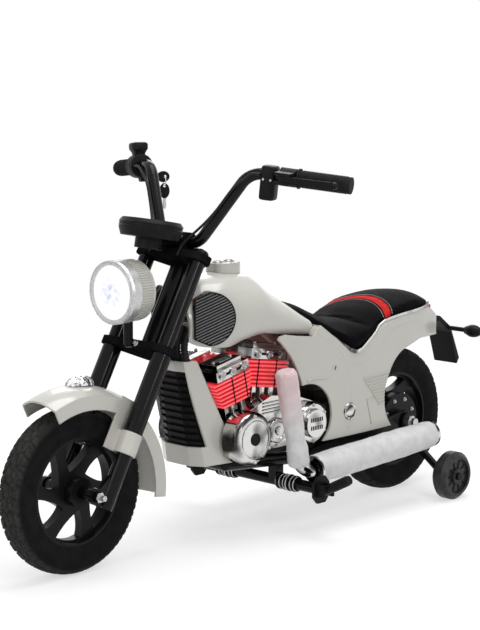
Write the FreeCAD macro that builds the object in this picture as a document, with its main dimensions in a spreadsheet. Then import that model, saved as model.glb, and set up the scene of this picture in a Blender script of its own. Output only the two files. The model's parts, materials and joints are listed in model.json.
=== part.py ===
import FreeCAD, Part
import math
import os

import Sketcher
from FreeCAD import Placement, Rotation, Vector

# Kids electric motorbike: a chopper on twelve-inch wheels with stabiliser wheels.
# Frame: +X forward, +Y to the rider's left, +Z up, origin on the ground below the middle of the box.

# Lengths in millimetres, one named value each
SIZES = {
    # fits that several pieces share
    "running_gap": 0.05,
    "seat_gap": 0.3,
    "cut_over": 2.0,
    # wheels
    "tyre_radius": 152.0,
    "tyre_width": 58.0,
    "tyre_lip_width": 48.0,
    "tyre_shoulder_radius": 144.0,
    "tyre_shoulder_width": 50.0,
    "tyre_bulge_radius": 126.0,
    "bead_radius": 100.0,
    "rim_width": 44.0,
    "rim_flange_height": 4.0,
    "rim_flange_thickness": 4.0,
    "rim_barrel_wall": 6.0,
    "rim_web_thickness": 20.0,
    "rim_window_inner": 38.0,
    "rim_window_margin": 5.0,
    "front_hub_radius": 27.0,
    "front_hub_width": 60.0,
    "motor_drum_radius": 56.0,
    "motor_drum_width": 68.0,
    "motor_drum_wall": 6.0,
    "motor_air_gap": 2.0,
    "wheelbase": 889.0,
    "tail_reach": 207.6,
    # front axle
    "front_axle_radius": 6.0,
    "front_axle_end": 92.0,
    "front_axle_tip_radius": 5.0,
    "axle_spacer_radius": 11.0,
    "front_nut_width": 20.0,
    "front_nut_height": 9.0,
    # rear axle
    "rear_axle_radius": 8.0,
    "rear_axle_end": 78.0,
    "rear_nut_width": 26.0,
    "rear_nut_height": 11.0,
    # fork, measured along and across the steering axis
    "axle_lead": 29.8,
    "leg_lead": 32.0,
    "leg_spacing": 133.4,
    "leg_radius": 15.0,
    "leg_foot": 14.0,
    "leg_top_cap": 6.0,
    "dropout_thickness": 10.0,
    "dropout_radius": 15.0,
    "dropout_rise": 46.0,
    "sleeve_radius": 18.0,
    "collar_radius": 20.0,
    "collar_low": 90.0,
    "collar_height": 41.0,
    "clamp_thickness": 14.0,
    "clamp_boss_radius": 23.0,
    "lower_clamp_up": 292.0,
    "upper_clamp_up": 477.0,
    "stem_radius": 12.0,
    "stem_boss": 24.0,
    "head_tube_radius": 22.0,
    # handlebar
    "bar_radius": 11.0,
    "bar_clamp_fore": 29.0,
    "bar_clamp_up": 507.0,
    "bar_straight_half": 48.0,
    "bar_bend_back": 51.0,
    "bar_bend_side": 132.0,
    "bar_bend_rise": 134.0,
    "bar_end_back": 131.5,
    "bar_end_side": 307.0,
    "bar_end_rise": 114.0,
    "bar_low_bend": 34.0,
    "bar_high_bend": 46.0,
    "bar_clamp_half_width": 27.0,
    "bar_clamp_wall": 8.0,
    "grip_radius": 15.5,
    "grip_length": 100.0,
    "grip_cap": 4.0,
    "grip_flange": 3.0,
    "grip_flange_radius": 18.5,
    # left controls, measured along the bar from its outer end
    "perch_inset": 104.0,
    "perch_width": 30.0,
    "perch_radius": 17.0,
    "perch_reach": 45.0,
    "perch_height": 22.0,
    "lever_pin_radius": 3.0,
    "lever_height": 11.0,
    "lever_thickness": 8.0,
    "lever_length": 98.0,
    "lever_ball_radius": 6.5,
    "lever_slot_gap": 0.4,
    "switch_inset": 140.0,
    "switch_width": 30.0,
    "switch_depth": 34.0,
    "switch_drop": 46.0,
    "switch_rise": 17.0,
    "horn_radius": 6.0,
    "horn_length": 12.0,
    "horn_proud": 4.0,
    # throttle housing and key
    "throttle_inset": 104.0,
    "throttle_width": 36.0,
    "throttle_radius": 23.0,
    "throttle_rise": 46.0,
    "screen_depth": 34.0,
    "lock_radius": 9.0,
    "lock_length": 24.0,
    "lock_drop": 22.0,
    "key_shank_radius": 2.6,
    "key_shank_length": 16.0,
    "key_head_length": 24.0,
    "key_head_width": 22.0,
    "key_head_thickness": 4.0,
    "key_hole_radius": 3.0,
    "ring_radius": 9.0,
    "ring_wire": 1.0,
    "spare_blade_length": 28.0,
    "spare_blade_width": 7.0,
    "spare_blade_thickness": 2.4,
    # control cables
    "cable_radius": 2.5,
    "cable_side": 37.0,
    # gauge pod
    "gauge_radius": 59.0,
    "gauge_thickness": 27.0,
    "gauge_lip": 5.0,
    "gauge_lip_height": 6.0,
    "gauge_stem_radius": 26.0,
    "gauge_stem_height": 20.0,
    "gauge_ahead": 73.0,
    "gauge_above": 40.0,
    "gauge_arm_radius": 8.0,
    # headlight
    "headlight_ahead": 118.1,
    "headlight_drop": 79.0,
    "lens_radius": 50.0,
    "lens_thickness": 5.0,
    "lens_dome": 7.0,
    "bezel_width": 9.0,
    "bezel_depth": 20.0,
    "bucket_depth": 36.0,
    "bucket_dome": 20.0,
    "bucket_wall": 3.0,
    "bucket_back_radius": 32.0,
    "headlight_post_radius": 9.0,
    # front fender, an arc whose middle lies a little behind and below the axle
    "fender_radius": 203.0,
    "fender_back": 5.0,
    "fender_below": 12.5,
    "fender_width": 90.0,
    "fender_crown": 14.0,
    "fender_skirt": 26.0,
    "fender_wall": 3.0,
    "fender_tab_length": 34.0,
    "fender_tab_rise": 78.0,
    "fender_lamp_length": 62.0,
    "fender_lamp_width": 34.0,
    "fender_lamp_height": 17.0,
    "fender_lamp_back": 24.0,
    # frame tubes
    "backbone_radius": 17.0,
    "down_tube_radius": 12.0,
    "rail_radius": 13.0,
    "rail_spacing": 96.0,
    "rail_front_ahead": 542.0,
    "rail_front_z": 148.0,
    "rail_rear_ahead": 300.0,
    "rail_rear_z": 126.0,
    "spine_radius": 13.0,
    "stay_radius": 8.0,
    "stay_ahead": 217.0,
    "stay_z": 287.0,
    "rear_plate_thickness": 6.0,
    "rear_plate_height": 44.0,
    # tank
    "tank_front_ahead": 636.0,
    "tank_length": 312.0,
    "tank_base_z": 392.0,
    "tank_height": 124.0,
    "tank_width": 178.0,
    "tank_wall": 5.0,
    "grille_length": 80.0,
    "grille_height": 98.0,
    "grille_thickness": 9.0,
    "panel_length": 66.0,
    "panel_width": 50.0,
    "panel_height": 15.0,
    "panel_round": 20.0,
    "panel_ahead": 498.0,
    "button_travel": 2.0,
    "button_radius": 8.0,
    "button_length": 10.0,
    "button_proud": 3.0,
    "button_spacing": 30.0,
    # radiator cowl
    "cowl_low_z": 155.0,
    "cowl_height": 205.0,
    "cowl_top_ahead": 654.0,
    "cowl_top_depth": 30.0,
    "cowl_top_width": 112.0,
    "cowl_low_ahead": 620.0,
    "cowl_low_depth": 96.0,
    "cowl_low_width": 139.0,
    "cowl_wall": 5.0,
    "cowl_top_lip": 20.0,
    "cowl_low_lip": 38.0,
    "louvre_depth": 9.0,
    "louvre_back": 3.0,
    # engine
    "engine_half_width": 70.0,
    "engine_split": 17.0,
    "crankcase_rear_ahead": 280.0,
    "crankcase_length": 300.0,
    "crankcase_low_z": 165.0,
    "crankcase_height": 105.0,
    "front_cylinder_ahead": 526.5,
    "front_cylinder_z": 245.5,
    "rear_cylinder_ahead": 438.0,
    "rear_cylinder_z": 259.3,
    "rear_cylinder_side": 52.0,
    "cylinder_foot": 25.0,
    "front_fin_low_length": 70.0,
    "front_fin_top_length": 102.0,
    "rear_fin_low_length": 74.0,
    "rear_fin_top_length": 120.0,
    "fin_thickness": 4.4,
    "fin_spacing": 7.8,
    "fin_depth": 7.0,
    "head_height": 20.0,
    "head_cap_height": 9.0,
    "head_cap_inset": 11.0,
    "air_cover_radius": 51.0,
    "air_cover_ahead": 522.7,
    "air_cover_z": 203.0,
    "air_cover_height": 40.0,
    "rear_cover_radius": 42.0,
    "rear_cover_ahead": 333.7,
    "rear_cover_z": 203.0,
    "rear_cover_height": 18.0,
    "rear_cap_radius": 28.0,
    "rear_cap_height": 9.0,
    # battery and controller
    "battery_length": 105.0,
    "battery_width": 74.0,
    "battery_height": 96.0,
    "battery_ahead": 276.0,
    "tray_thickness": 4.0,
    "mount_length": 20.0,
    "front_mount_ahead": 500.0,
    "rear_mount_ahead": 330.0,
    "controller_length": 90.0,
    "controller_width": 60.0,
    "controller_height": 24.0,
    # exhaust
    "exhaust_side": 129.0,
    "header_radius": 16.0,
    "header_top_ahead": 454.2,
    "header_low_ahead": 416.0,
    "header_port_back": 62.0,
    "header_port_side": 60.0,
    "header_top_z": 300.0,
    "header_top_bend": 26.0,
    "header_low_bend": 50.0,
    "muffler_radius": 27.0,
    "muffler_front_ahead": 380.0,
    "muffler_front_z": 123.0,
    "muffler_rear_ahead": 14.0,
    "muffler_rear_z": 138.0,
    "muffler_tip_radius": 17.0,
    "muffler_tip_length": 8.0,
    "foam_thickness": 3.6,
    "header_foam_thickness": 6.0,
    "foam_inset": 12.0,
    "header_foam_low_z": 138.0,
    "header_foam_top_z": 330.0,
    # side covers
    "cover_front_ahead": 436.0,
    "cover_length": 516.0,
    "cover_low_z": 164.0,
    "cover_height": 233.0,
    "cover_half_width": 96.0,
    "cover_nose_half_width": 88.0,
    "cover_tail_half_width": 66.0,
    "cover_tail_start_ahead": 120.0,
    "cover_wall": 5.0,
    # seat
    "seat_front_ahead": 362.0,
    "seat_length": 424.0,
    "seat_low_z": 328.0,
    "seat_height": 118.0,
    "seat_width": 190.0,
    "seat_draw_in": 4.0,
    "pan_thickness": 6.0,
    "pan_inset": 5.0,
    "trim_height": 6.0,
    "trim_thickness": 3.0,
    # tail
    "tail_plate_thickness": 5.0,
    "plate_arm_width": 62.0,
    "plate_arm_thickness": 8.0,
    "plate_low_z": 246.0,
    "plate_height": 30.0,
    "tail_light_depth": 16.0,
    "tail_light_width": 74.0,
    "tail_light_height": 22.0,
    "signal_radius": 13.0,
    "signal_length": 40.0,
    "signal_side": 74.0,
    "signal_stalk_radius": 5.0,
    "signal_back": 172.0,
    "signal_z": 328.0,
    # footrests
    "footrest_ahead": 399.5,
    "footrest_z": 94.0,
    "footrest_radius": 11.0,
    "footrest_half": 163.0,
    "ring_sleeve_radius": 14.0,
    "ring_sleeve_start": 58.0,
    "ring_sleeve_length": 50.0,
    "ring_rib": 2.0,
    "ring_rib_width": 4.0,
    "saddle_length": 22.0,
    "saddle_width": 20.0,
    "bracket_length": 44.0,
    "bracket_height": 52.0,
    "bracket_thickness": 6.0,
    "ear_reach": 19.0,
    "ear_thickness": 5.0,
    "ear_height": 24.0,
    "peg_pin_radius": 4.0,
    "peg_boss_radius": 9.5,
    "peg_boss_length": 19.0,
    "peg_radius": 9.0,
    "peg_length": 66.0,
    "peg_side_gap": 0.4,
    # stabiliser wheels
    "stabiliser_radius": 50.0,
    "stabiliser_width": 35.0,
    "stabiliser_side": 163.0,
    "stabiliser_behind": 15.6,
    "stabiliser_axle_radius": 5.0,
    "stabiliser_tread_round": 8.0,
    "stabiliser_hub_radius": 16.0,
    "stabiliser_hub_recess": 6.0,
    "stabiliser_disc_radius": 36.0,
    "arm_radius": 8.0,
    "arm_boss_radius": 11.0,
    "arm_plate_width": 34.0,
    "arm_plate_drop": 48.0,
    "arm_plate_thickness": 6.0,
    "stabiliser_nut_height": 5.0,
    "stabiliser_nut_radius": 8.0,
}

# Angles in degrees
RAKE = 29.3
FRONT_CYLINDER_LEAN = 12.0
REAR_CYLINDER_LEAN = -9.0
FENDER_START = 66.0
FENDER_SWEEP = 122.0
GAUGE_TILT = 11.0
PEG_RISE = 27.5
RIM_SWIRL = 26.0
FULL_TURN = 360.0
SQUARE = 90.0

# Counts
SPOKES = 6
FINS = 7
LOUVRES = 11
STATION_STEPS = 3
HEX = 6

# Outlines as shares of the length and height that they follow
CRANKCASE_SHARES = [
    (0.0, 0.12), (0.06, 0.0), (0.8, 0.0), (0.83, 0.22), (0.9, 0.62), (0.72, 0.8),
    (0.52, 1.0), (0.3, 0.92), (0.12, 0.74), (0.0, 0.6),
]
COVER_HORN_SHARE = (0.075, 0.745)
COVER_SHOULDER_SHARES = [(0.0, 0.93), (0.012, 0.955), (0.04, 0.965), (0.1, 0.94), (0.185, 0.915)]
COVER_TAIL_SHARES = [(0.99, 0.9), (1.0, 0.87), (1.0, 0.71), (0.855, 0.72), (0.745, 0.665)]
COVER_REAR_BEND_SHARES = ((0.66, 0.56), (0.632, 0.47))
COVER_HEEL_SHARES = ((0.6, 0.26), (0.648, 0.0))
COVER_SILL_SHARE = (0.239, 0.0)
COVER_ARCH_SHARES = ((0.2855, 0.266), (0.1285, 0.51))
# Tank stations: place from the nose, half width at the base, waist and shoulder, base, shoulder and crown
TANK_SHARES = [
    (0.0, 0.5, 0.56, 0.44, 0.03, 0.55, 0.66),
    (0.09, 0.62, 0.7, 0.54, -0.06, 0.7, 0.84),
    (0.24, 0.84, 0.96, 0.66, -0.09, 0.78, 0.95),
    (0.36, 0.86, 1.0, 0.68, -0.02, 0.8, 0.985),
    (0.54, 0.84, 0.97, 0.67, 0.03, 0.76, 0.94),
    (0.68, 0.82, 0.92, 0.68, -0.02, 0.54, 0.7),
    (0.86, 0.8, 0.88, 0.69, -0.08, 0.3, 0.44),
    (1.0, 0.78, 0.84, 0.7, -0.12, 0.11, 0.22),
]
# Seat stations: place from the nose, half width, underside, edge and crown
SEAT_SHARES = [
    (0.0, 0.36, 0.83, 0.9, 0.98),
    (0.1, 0.56, 0.58, 0.74, 0.87),
    (0.22, 0.82, 0.28, 0.5, 0.64),
    (0.335, 1.0, 0.02, 0.34, 0.45),
    (0.45, 0.98, 0.2, 0.37, 0.45),
    (0.57, 0.92, 0.44, 0.54, 0.63),
    (0.7, 0.9, 0.5, 0.68, 0.77),
    (0.83, 0.86, 0.53, 0.72, 0.84),
    (0.93, 0.75, 0.55, 0.68, 0.81),
    (1.0, 0.58, 0.56, 0.62, 0.71),
]
SEAT_ROLL_SHARE = 0.14
PLATE_ARM_SHARES = [(0.0, 1.0), (0.45, 0.93), (0.75, 0.7), (1.0, 0.1)]
GRILLE_OUTLINE_SHARES = (0.27, 0.74)
GRILLE_RISE_SHARE = 0.37
GRILLE_FRONT_SHARES = (0.02, 0.6)
GRILLE_REAR_SHARES = (0.26, 0.97)
GRILLE_ROOM_SHARE = 5.0
WAIST_SHARE = 0.55
LEVER_BEND_SHARES = (0.22, 0.5)
LEVER_EYE_SHARE = 2.2
KEY_SHOULDER_SHARE = 0.6
KEY_HOLE_SHARE = 0.66
SPARE_SHOULDER_SHARE = 0.4
CABLE_AHEAD_SHARE = 1.5
CABLE_SHARES = (0.5, 0.2, 0.62)
CORD_RUN_SHARE = 0.45
WINDOW_SHARE = 0.66
HEADLIGHT_POST_SHARE = 0.5
PANEL_HEIGHT_SHARE = 0.99
RING_STEP_SHARES = (0.1, 0.36, 0.62, 0.88)
HEAD_LENGTH_SHARE = 0.86
AIR_DOME_SHARE = 0.62
AIR_FACE_SHARE = 0.7
AIR_SHOULDER_SHARES = (0.93, 0.9)
REAR_COVER_SHARES = (0.9, 0.6)
COWL_SHARES = (0.44, 0.16, 0.8)
SLAT_SHARES = (0.25, 0.5)
PLATE_LIP_SHARE = 0.4
SIGNAL_FOOT_SHARE = 0.6
SIGNAL_WAIST_SHARE = 0.35
SIGNAL_BULGE_SHARES = (0.86, 0.8)
SIGNAL_TIP_SHARE = 0.5
BRACKET_CORNER_SHARE = 0.5
SPINE_SHARES = [(0.0, 0.0), (0.34, -1.17), (0.66, -0.5), (1.0, -0.42)]
BACKBONE_UP_SHARE = 0.45
DOWN_TUBE_UP_SHARE = 0.3

os.makedirs("parts", exist_ok=True)
doc = FreeCAD.newDocument("kids_motorbike")
sheet = doc.addObject("Spreadsheet::Sheet", "Sizes")


class Size(float):
    """A length that also knows how the sheet works it out."""

    def __new__(cls, value, text):
        made = float.__new__(cls, value)
        made.text = text
        return made

    def __add__(self, other):
        return Size(float(self) + float(other), f"({self.text} + {told(other)})")

    __radd__ = __add__

    def __sub__(self, other):
        return Size(float(self) - float(other), f"({self.text} - {told(other)})")

    def __rsub__(self, other):
        return Size(float(other) - float(self), f"({told(other)} - {self.text})")

    def __mul__(self, other):
        return Size(float(self) * float(other), f"({self.text} * {told(other)})")

    __rmul__ = __mul__

    def __truediv__(self, other):
        return Size(float(self) / float(other), f"({self.text} / {told(other)})")

    def __neg__(self):
        return Size(-float(self), f"(0 - {self.text})")


def told(value):
    """How an expression writes a value."""
    return value.text if isinstance(value, Size) else f"({float(value):.9g})"


class Sizes:
    """The named lengths, as attributes."""


def fill_sheet():
    """Put each length in a cell of its own, and give it back by name."""
    sizes = Sizes()
    for row, (name, value) in enumerate(SIZES.items(), start=1):
        sheet.set(f"A{row}", name)
        sheet.set(f"B{row}", str(value))
        sheet.setAlias(f"B{row}", name)
        setattr(sizes, name, Size(value, f"Sizes.{name}"))
    doc.recompute()
    return sizes


z = fill_sheet()
NODES = []
X_WAY = Vector(1, 0, 0)
Y_WAY = Vector(0, 1, 0)
Z_WAY = Vector(0, 0, 1)
SWIVEL_TO_SIDE = Rotation(X_WAY, -SQUARE)
SWIVEL_TO_FRONT = Rotation(Y_WAY, SQUARE)


# Places that the pieces share
half_length = (z.tyre_radius + z.wheelbase + z.tail_reach) / 2
front_x = half_length - z.tyre_radius
rear_x = front_x - z.wheelbase
axle_z = z.tyre_radius
leg_y = z.leg_spacing / 2
rake_cos = math.cos(math.radians(RAKE))
rake_sin = math.sin(math.radians(RAKE))
fork_x = front_x - (z.axle_lead + z.leg_lead) * rake_cos
fork_z = axle_z - (z.axle_lead + z.leg_lead) * rake_sin
FORK_TILT = Rotation(Y_WAY, -RAKE)


def ahead(distance):
    """A place along the bike, counted forward from the rear axle."""
    return rear_x + distance


def on_fork(fore, side, up):
    """A place given across, beside and along the steering axis."""
    return (
        fork_x + fore * rake_cos - up * rake_sin,
        side,
        fork_z + fore * rake_sin + up * rake_cos,
    )


def bind(thing, name, value):
    """Tie a property to the sheet, or set it where it is a plain number."""
    if isinstance(value, Size):
        thing.setExpression(name, value.text)
    else:
        setattr(thing, name, value)


def place(thing, spot, turn=None):
    """Set a piece down at a spot, tied to the sheet, with a fixed turn."""
    thing.Placement = Placement(Vector(*spot), turn or Rotation())
    for letter, value in zip("xyz", spot):
        if isinstance(value, Size):
            thing.setExpression(f"Placement.Base.{letter}", value.text)
    return thing


def piece(label):
    """A finished sub-part by its name."""
    return [thing for thing in NODES if thing.Label == label][0]


def node(label, thing):
    """Name a finished sub-part."""
    thing.Label = label
    NODES.append(thing)
    return thing


# Bodies made from sketches
def draw(body, plane, outline):
    """Sketch a closed outline; a corner may carry the middle point of an arc that leads to it."""
    sketch = body.newObject("Sketcher::SketchObject", body.Name + "_sketch")
    face = [f for f in body.Origin.OriginFeatures if f.Role == plane][0]
    sketch.AttachmentSupport = [(face, "")]
    sketch.MapMode = "FlatFace"
    spots = [Vector(corner[0], corner[1], 0) for corner in outline]
    for index, corner in enumerate(outline):
        if len(corner) == 3:
            middle = Vector(corner[2][0], corner[2][1], 0)
            sketch.addGeometry(Part.Arc(spots[index - 1], middle, spots[index]), False)
        else:
            sketch.addGeometry(Part.LineSegment(spots[index - 1], spots[index]), False)
    ends = []
    for index, spot in enumerate(spots):
        follower = (index + 1) % len(spots)
        end = end_at(sketch, index, spot)
        ends.append(end)
        start = end_at(sketch, follower, spot)
        sketch.addConstraint(Sketcher.Constraint("Coincident", index, end, follower, start))
    for index, corner in enumerate(outline):
        hold(sketch, "DistanceX", -2, index, ends[index], corner[0])
        hold(sketch, "DistanceY", -1, index, ends[index], corner[1])
    return sketch


def end_at(sketch, index, spot):
    """Which end of a drawn edge lies at a spot."""
    first = sketch.getPoint(index, 1).distanceToPoint(spot)
    second = sketch.getPoint(index, 2).distanceToPoint(spot)
    return 1 if first < second else 2


def hold(sketch, kind, axis, index, end, value):
    """Tie one end of an edge to a distance from the sketch's middle."""
    if float(value) == 0:
        sketch.addConstraint(Sketcher.Constraint("PointOnObject", index, end, axis))
        return
    made = sketch.addConstraint(Sketcher.Constraint(kind, -1, 1, index, end, float(value)))
    if isinstance(value, Size):
        sketch.setExpression(f"Constraints[{made}]", value.text)


def circles(body, plane, rounds):
    """Sketch circles given as middle and radius."""
    sketch = body.newObject("Sketcher::SketchObject", body.Name + "_holes")
    face = [f for f in body.Origin.OriginFeatures if f.Role == plane][0]
    sketch.AttachmentSupport = [(face, "")]
    sketch.MapMode = "FlatFace"
    for index, (across, along, radius) in enumerate(rounds):
        sketch.addGeometry(Part.Circle(Vector(across, along, 0), Z_WAY, float(radius)), False)
        hold(sketch, "DistanceX", -2, index, 3, across)
        hold(sketch, "DistanceY", -1, index, 3, along)
        made = sketch.addConstraint(Sketcher.Constraint("Radius", index, float(radius)))
        sketch.setExpression(f"Constraints[{made}]", radius.text)
    return sketch


def new_body(name):
    return doc.addObject("PartDesign::Body", name)


def revolved(name, outline, turn=FULL_TURN):
    """Turn an outline of radius and height about the body's own Z axis."""
    body = new_body(name)
    sketch = draw(body, "XZ_Plane", outline)
    feature = body.newObject("PartDesign::Revolution", name + "_turn")
    feature.Profile = sketch
    feature.ReferenceAxis = (sketch, ["V_Axis"])
    feature.Angle = turn
    return body


def padded(name, outline, depth, plane="XZ_Plane"):
    """Thicken an outline by a depth, half to each side of its plane."""
    body = new_body(name)
    add_pad(body, outline, depth, plane)
    return body


def add_pad(body, outline, depth, plane):
    """Add a pad, half to each side of its plane."""
    feature = body.newObject("PartDesign::Pad", body.Name + "_pad")
    feature.Profile = draw(body, plane, outline)
    feature.SideType = "Symmetric"
    bind(feature, "Length", depth)
    return feature


def cut_through(body, sketch):
    """Cut a sketch right through a body, both ways, and make sure that something went."""
    doc.recompute()
    before = body.Shape.Volume
    pocket = body.newObject("PartDesign::Pocket", body.Name + "_pocket")
    pocket.Profile = sketch
    pocket.Type = "ThroughAll"
    pocket.SideType = "Symmetric"
    doc.recompute()
    if body.Shape.Volume >= before:
        raise RuntimeError(body.Name + " was not cut")
    return pocket


def repeated_round(body, feature, count):
    """Repeat a feature round the body's Z axis."""
    pattern = body.newObject("PartDesign::PolarPattern", body.Name + "_round")
    pattern.Originals = [feature]
    axis = [f for f in body.Origin.OriginFeatures if f.Role == "Z_Axis"][0]
    pattern.Axis = (axis, [""])
    pattern.Angle = FULL_TURN
    pattern.Occurrences = count
    body.Tip = pattern


def rectangle(low_u, low_v, high_u, high_v):
    return [(low_u, low_v), (high_u, low_v), (high_u, high_v), (low_u, high_v)]


# Plain solids and what is done with them
def cylinder(name, radius, length, spot, turn=None):
    made = doc.addObject("Part::Cylinder", name)
    bind(made, "Radius", radius)
    bind(made, "Height", length)
    return place(made, spot, turn)


def side_cylinder(name, radius, length, spot):
    """A cylinder along Y, from its right end."""
    return cylinder(name, radius, length, spot, SWIVEL_TO_SIDE)


def box(name, length, width, height, spot):
    made = doc.addObject("Part::Box", name)
    bind(made, "Length", length)
    bind(made, "Width", width)
    bind(made, "Height", height)
    return place(made, spot)


def rod(name, radius, start, end):
    """A round bar between two places."""
    way = Vector(*end) - Vector(*start)
    made = doc.addObject("Part::Cylinder", name)
    bind(made, "Radius", radius)
    made.Height = way.Length
    return place(made, start, Rotation(Z_WAY, way))


def hexagon(name, width, height, spot, turn):
    made = doc.addObject("Part::Prism", name)
    made.Polygon = HEX
    bind(made, "Circumradius", width / 2)
    bind(made, "Height", height)
    return place(made, spot, turn)


def fused(name, pieces):
    made = doc.addObject("Part::MultiFuse", name)
    made.Shapes = pieces
    made.Refine = True
    return made


def cut(name, base, tool):
    made = doc.addObject("Part::Cut", name)
    made.Base = base
    made.Tool = tool
    return made


def group(name, pieces):
    made = doc.addObject("Part::Compound", name)
    made.Links = pieces
    return made


def mirrored(name, source):
    """The same piece on the other side of the bike."""
    made = doc.addObject("Part::Mirroring", name)
    made.Source = source
    made.Normal = Y_WAY
    return made


def both_sides(name, source):
    return group(name, [source, mirrored(name + "_right", source)])


def tube(name, radius, bore, length, spot, turn=None):
    outside = cylinder(name + "_outside", radius, length, spot, turn)
    inside = cylinder(name + "_inside", bore, length, spot, turn)
    return cut(name, outside, inside)


def formed(name, shape):
    """A piece whose form is lofted, swept or cut from surfaces."""
    made = doc.addObject("Part::Feature", name)
    made.Shape = shape
    return made


def largest(shape):
    """The biggest solid of a cut shape."""
    return max(shape.Solids, key=lambda solid: solid.Volume)


def path_with_bends(points, bends):
    """Straight runs joined by tangent arcs of the given radii."""
    edges = []
    start = points[0]
    for index, bend in enumerate(bends, start=1):
        corner = points[index]
        back = (points[index - 1] - corner).normalize()
        on = (points[index + 1] - corner).normalize()
        half_turn = (math.pi - back.getAngle(on)) / 2
        reach = bend * math.tan(half_turn)
        inward = (back + on).normalize()
        middle = corner + inward * (bend / math.cos(half_turn) - bend)
        first = corner + back * reach
        last = corner + on * reach
        edges.append(Part.LineSegment(start, first).toShape())
        edges.append(Part.Arc(first, middle, last).toShape())
        start = last
    edges.append(Part.LineSegment(start, points[-1]).toShape())
    return Part.Wire(edges)


def swept_round(path, radius):
    """A round bar along a path."""
    first = path.Edges[0]
    start = first.valueAt(first.FirstParameter)
    way = first.tangentAt(first.FirstParameter)
    ring = Part.Wire([Part.Circle(start, way, float(radius)).toShape()])
    return path.makePipeShell([ring], True, False)


def loose_bends(points):
    """Radii as large as a cord's runs allow."""
    bends = []
    for before, corner, after in zip(points, points[1:], points[2:]):
        turn = math.pi - (before - corner).getAngle(after - corner)
        shorter = min((before - corner).Length, (after - corner).Length)
        bends.append(CORD_RUN_SHARE * shorter / math.tan(turn / 2))
    return bends


# Wheels
def tyre(name, spot):
    seat = z.rim_width / 2 - z.rim_flange_thickness
    lip = z.bead_radius + z.rim_flange_height + z.seat_gap
    lip_half = z.tyre_lip_width / 2
    shoulder_half = z.tyre_shoulder_width / 2
    half = z.tyre_width / 2
    outline = [
        (z.bead_radius, -seat),
        (z.bead_radius, seat),
        (lip, seat),
        (lip, lip_half),
        (z.tyre_shoulder_radius, shoulder_half, (z.tyre_bulge_radius, half)),
        (z.tyre_shoulder_radius, -shoulder_half, (z.tyre_radius, 0)),
        (lip, -lip_half, (z.tyre_bulge_radius, -half)),
        (lip, -seat),
    ]
    return node(name, place(revolved(name, outline), spot, SWIVEL_TO_SIDE))


def rim_edge(barrel, web):
    """The stretch of a rim's outline from the web's left side round to its right side."""
    half = z.rim_width / 2
    seat = half - z.rim_flange_thickness
    flange = z.bead_radius + z.rim_flange_height
    return [
        (barrel, web), (barrel, half), (flange, half), (flange, seat), (z.bead_radius, seat),
        (z.bead_radius, -seat), (flange, -seat), (flange, -half), (barrel, -half), (barrel, -web),
    ]


def windows(body, inner, outer):
    """Cut one swirled window through the web, then repeat it round the wheel."""
    pitch = FULL_TURN / SPOKES
    sweep = pitch * WINDOW_SHARE

    def spot(radius, angle):
        turn = math.radians(angle)
        return (radius * math.cos(turn), radius * math.sin(turn))

    middle = (inner + outer) / 2
    outline = [
        spot(outer, 0) + (spot(middle, RIM_SWIRL / 4),),
        spot(outer, sweep) + (spot(outer, sweep / 2),),
        spot(inner, RIM_SWIRL + sweep / 2) + (spot(middle, sweep + RIM_SWIRL / 4),),
    ]
    pocket = cut_through(body, draw(body, "XY_Plane", outline))
    repeated_round(body, pocket, SPOKES)


def front_wheel(spot):
    tyre("front_tyre", spot)
    bore = z.front_axle_radius + z.running_gap
    hub = z.front_hub_radius
    half = z.front_hub_width / 2
    web = z.rim_web_thickness / 2
    barrel = z.bead_radius - z.rim_barrel_wall
    outline = [(bore, -half), (bore, half), (hub, half), (hub, web)]
    outline += rim_edge(barrel, web) + [(hub, -web), (hub, -half)]
    rim = revolved("front_rim", outline)
    windows(rim, z.rim_window_inner, barrel - z.rim_window_margin)
    node("front_rim", place(rim, spot, SWIVEL_TO_SIDE))


def rear_wheel(spot):
    tyre("rear_tyre", spot)
    bore = z.rear_axle_radius + z.running_gap
    drum = z.motor_drum_radius
    half = z.motor_drum_width / 2
    inside = half - z.motor_drum_wall
    room = drum - z.motor_drum_wall
    web = z.rim_web_thickness / 2
    barrel = z.bead_radius - z.rim_barrel_wall
    outline = [(bore, -inside), (room, -inside), (room, inside), (bore, inside), (bore, half)]
    outline += [(drum, half), (drum, web)] + rim_edge(barrel, web)
    outline += [(drum, -web), (drum, -half), (bore, -half)]
    rim = revolved("rear_rim", outline)
    windows(rim, drum + z.rim_window_margin, barrel - z.rim_window_margin)
    node("rear_rim", place(rim, spot, SWIVEL_TO_SIDE))


def nuts(name, width, height, start, spot, radius):
    """A nut on each end of an axle."""
    turn = SWIVEL_TO_SIDE
    hexes = hexagon(name + "_hex", width, height, (spot[0], start, spot[2]), turn)
    hole = side_cylinder(name + "_hole", radius, height, (spot[0], start, spot[2]))
    left = cut(name + "_left", hexes, hole)
    return [left, mirrored(name + "_right", left)]


def front_axle(spot):
    """A rod with thinner tips through both dropouts, spacers beside the hub and nuts outside."""
    end = z.front_axle_end
    outside = leg_y + z.dropout_thickness / 2
    full = outside + z.front_nut_height
    tip = z.front_axle_tip_radius
    outline = [
        (0, -end), (tip, -end), (tip, -full), (z.front_axle_radius, -full),
        (z.front_axle_radius, full), (tip, full), (tip, end), (0, end),
    ]
    bar = place(revolved("front_axle_rod", outline), spot, SWIVEL_TO_SIDE)
    start = z.front_hub_width / 2 + z.seat_gap
    reach = leg_y - z.dropout_thickness / 2 - start
    left = tube(
        "axle_spacer", z.axle_spacer_radius, z.front_axle_radius, reach,
        (spot[0], start, spot[2]), SWIVEL_TO_SIDE,
    )
    caps = nuts(
        "front_nut", z.front_nut_width, z.front_nut_height, outside, spot, z.front_axle_radius
    )
    node("front_axle", group("front_axle", [bar, left, mirrored("axle_spacer_right", left)] + caps))


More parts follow.
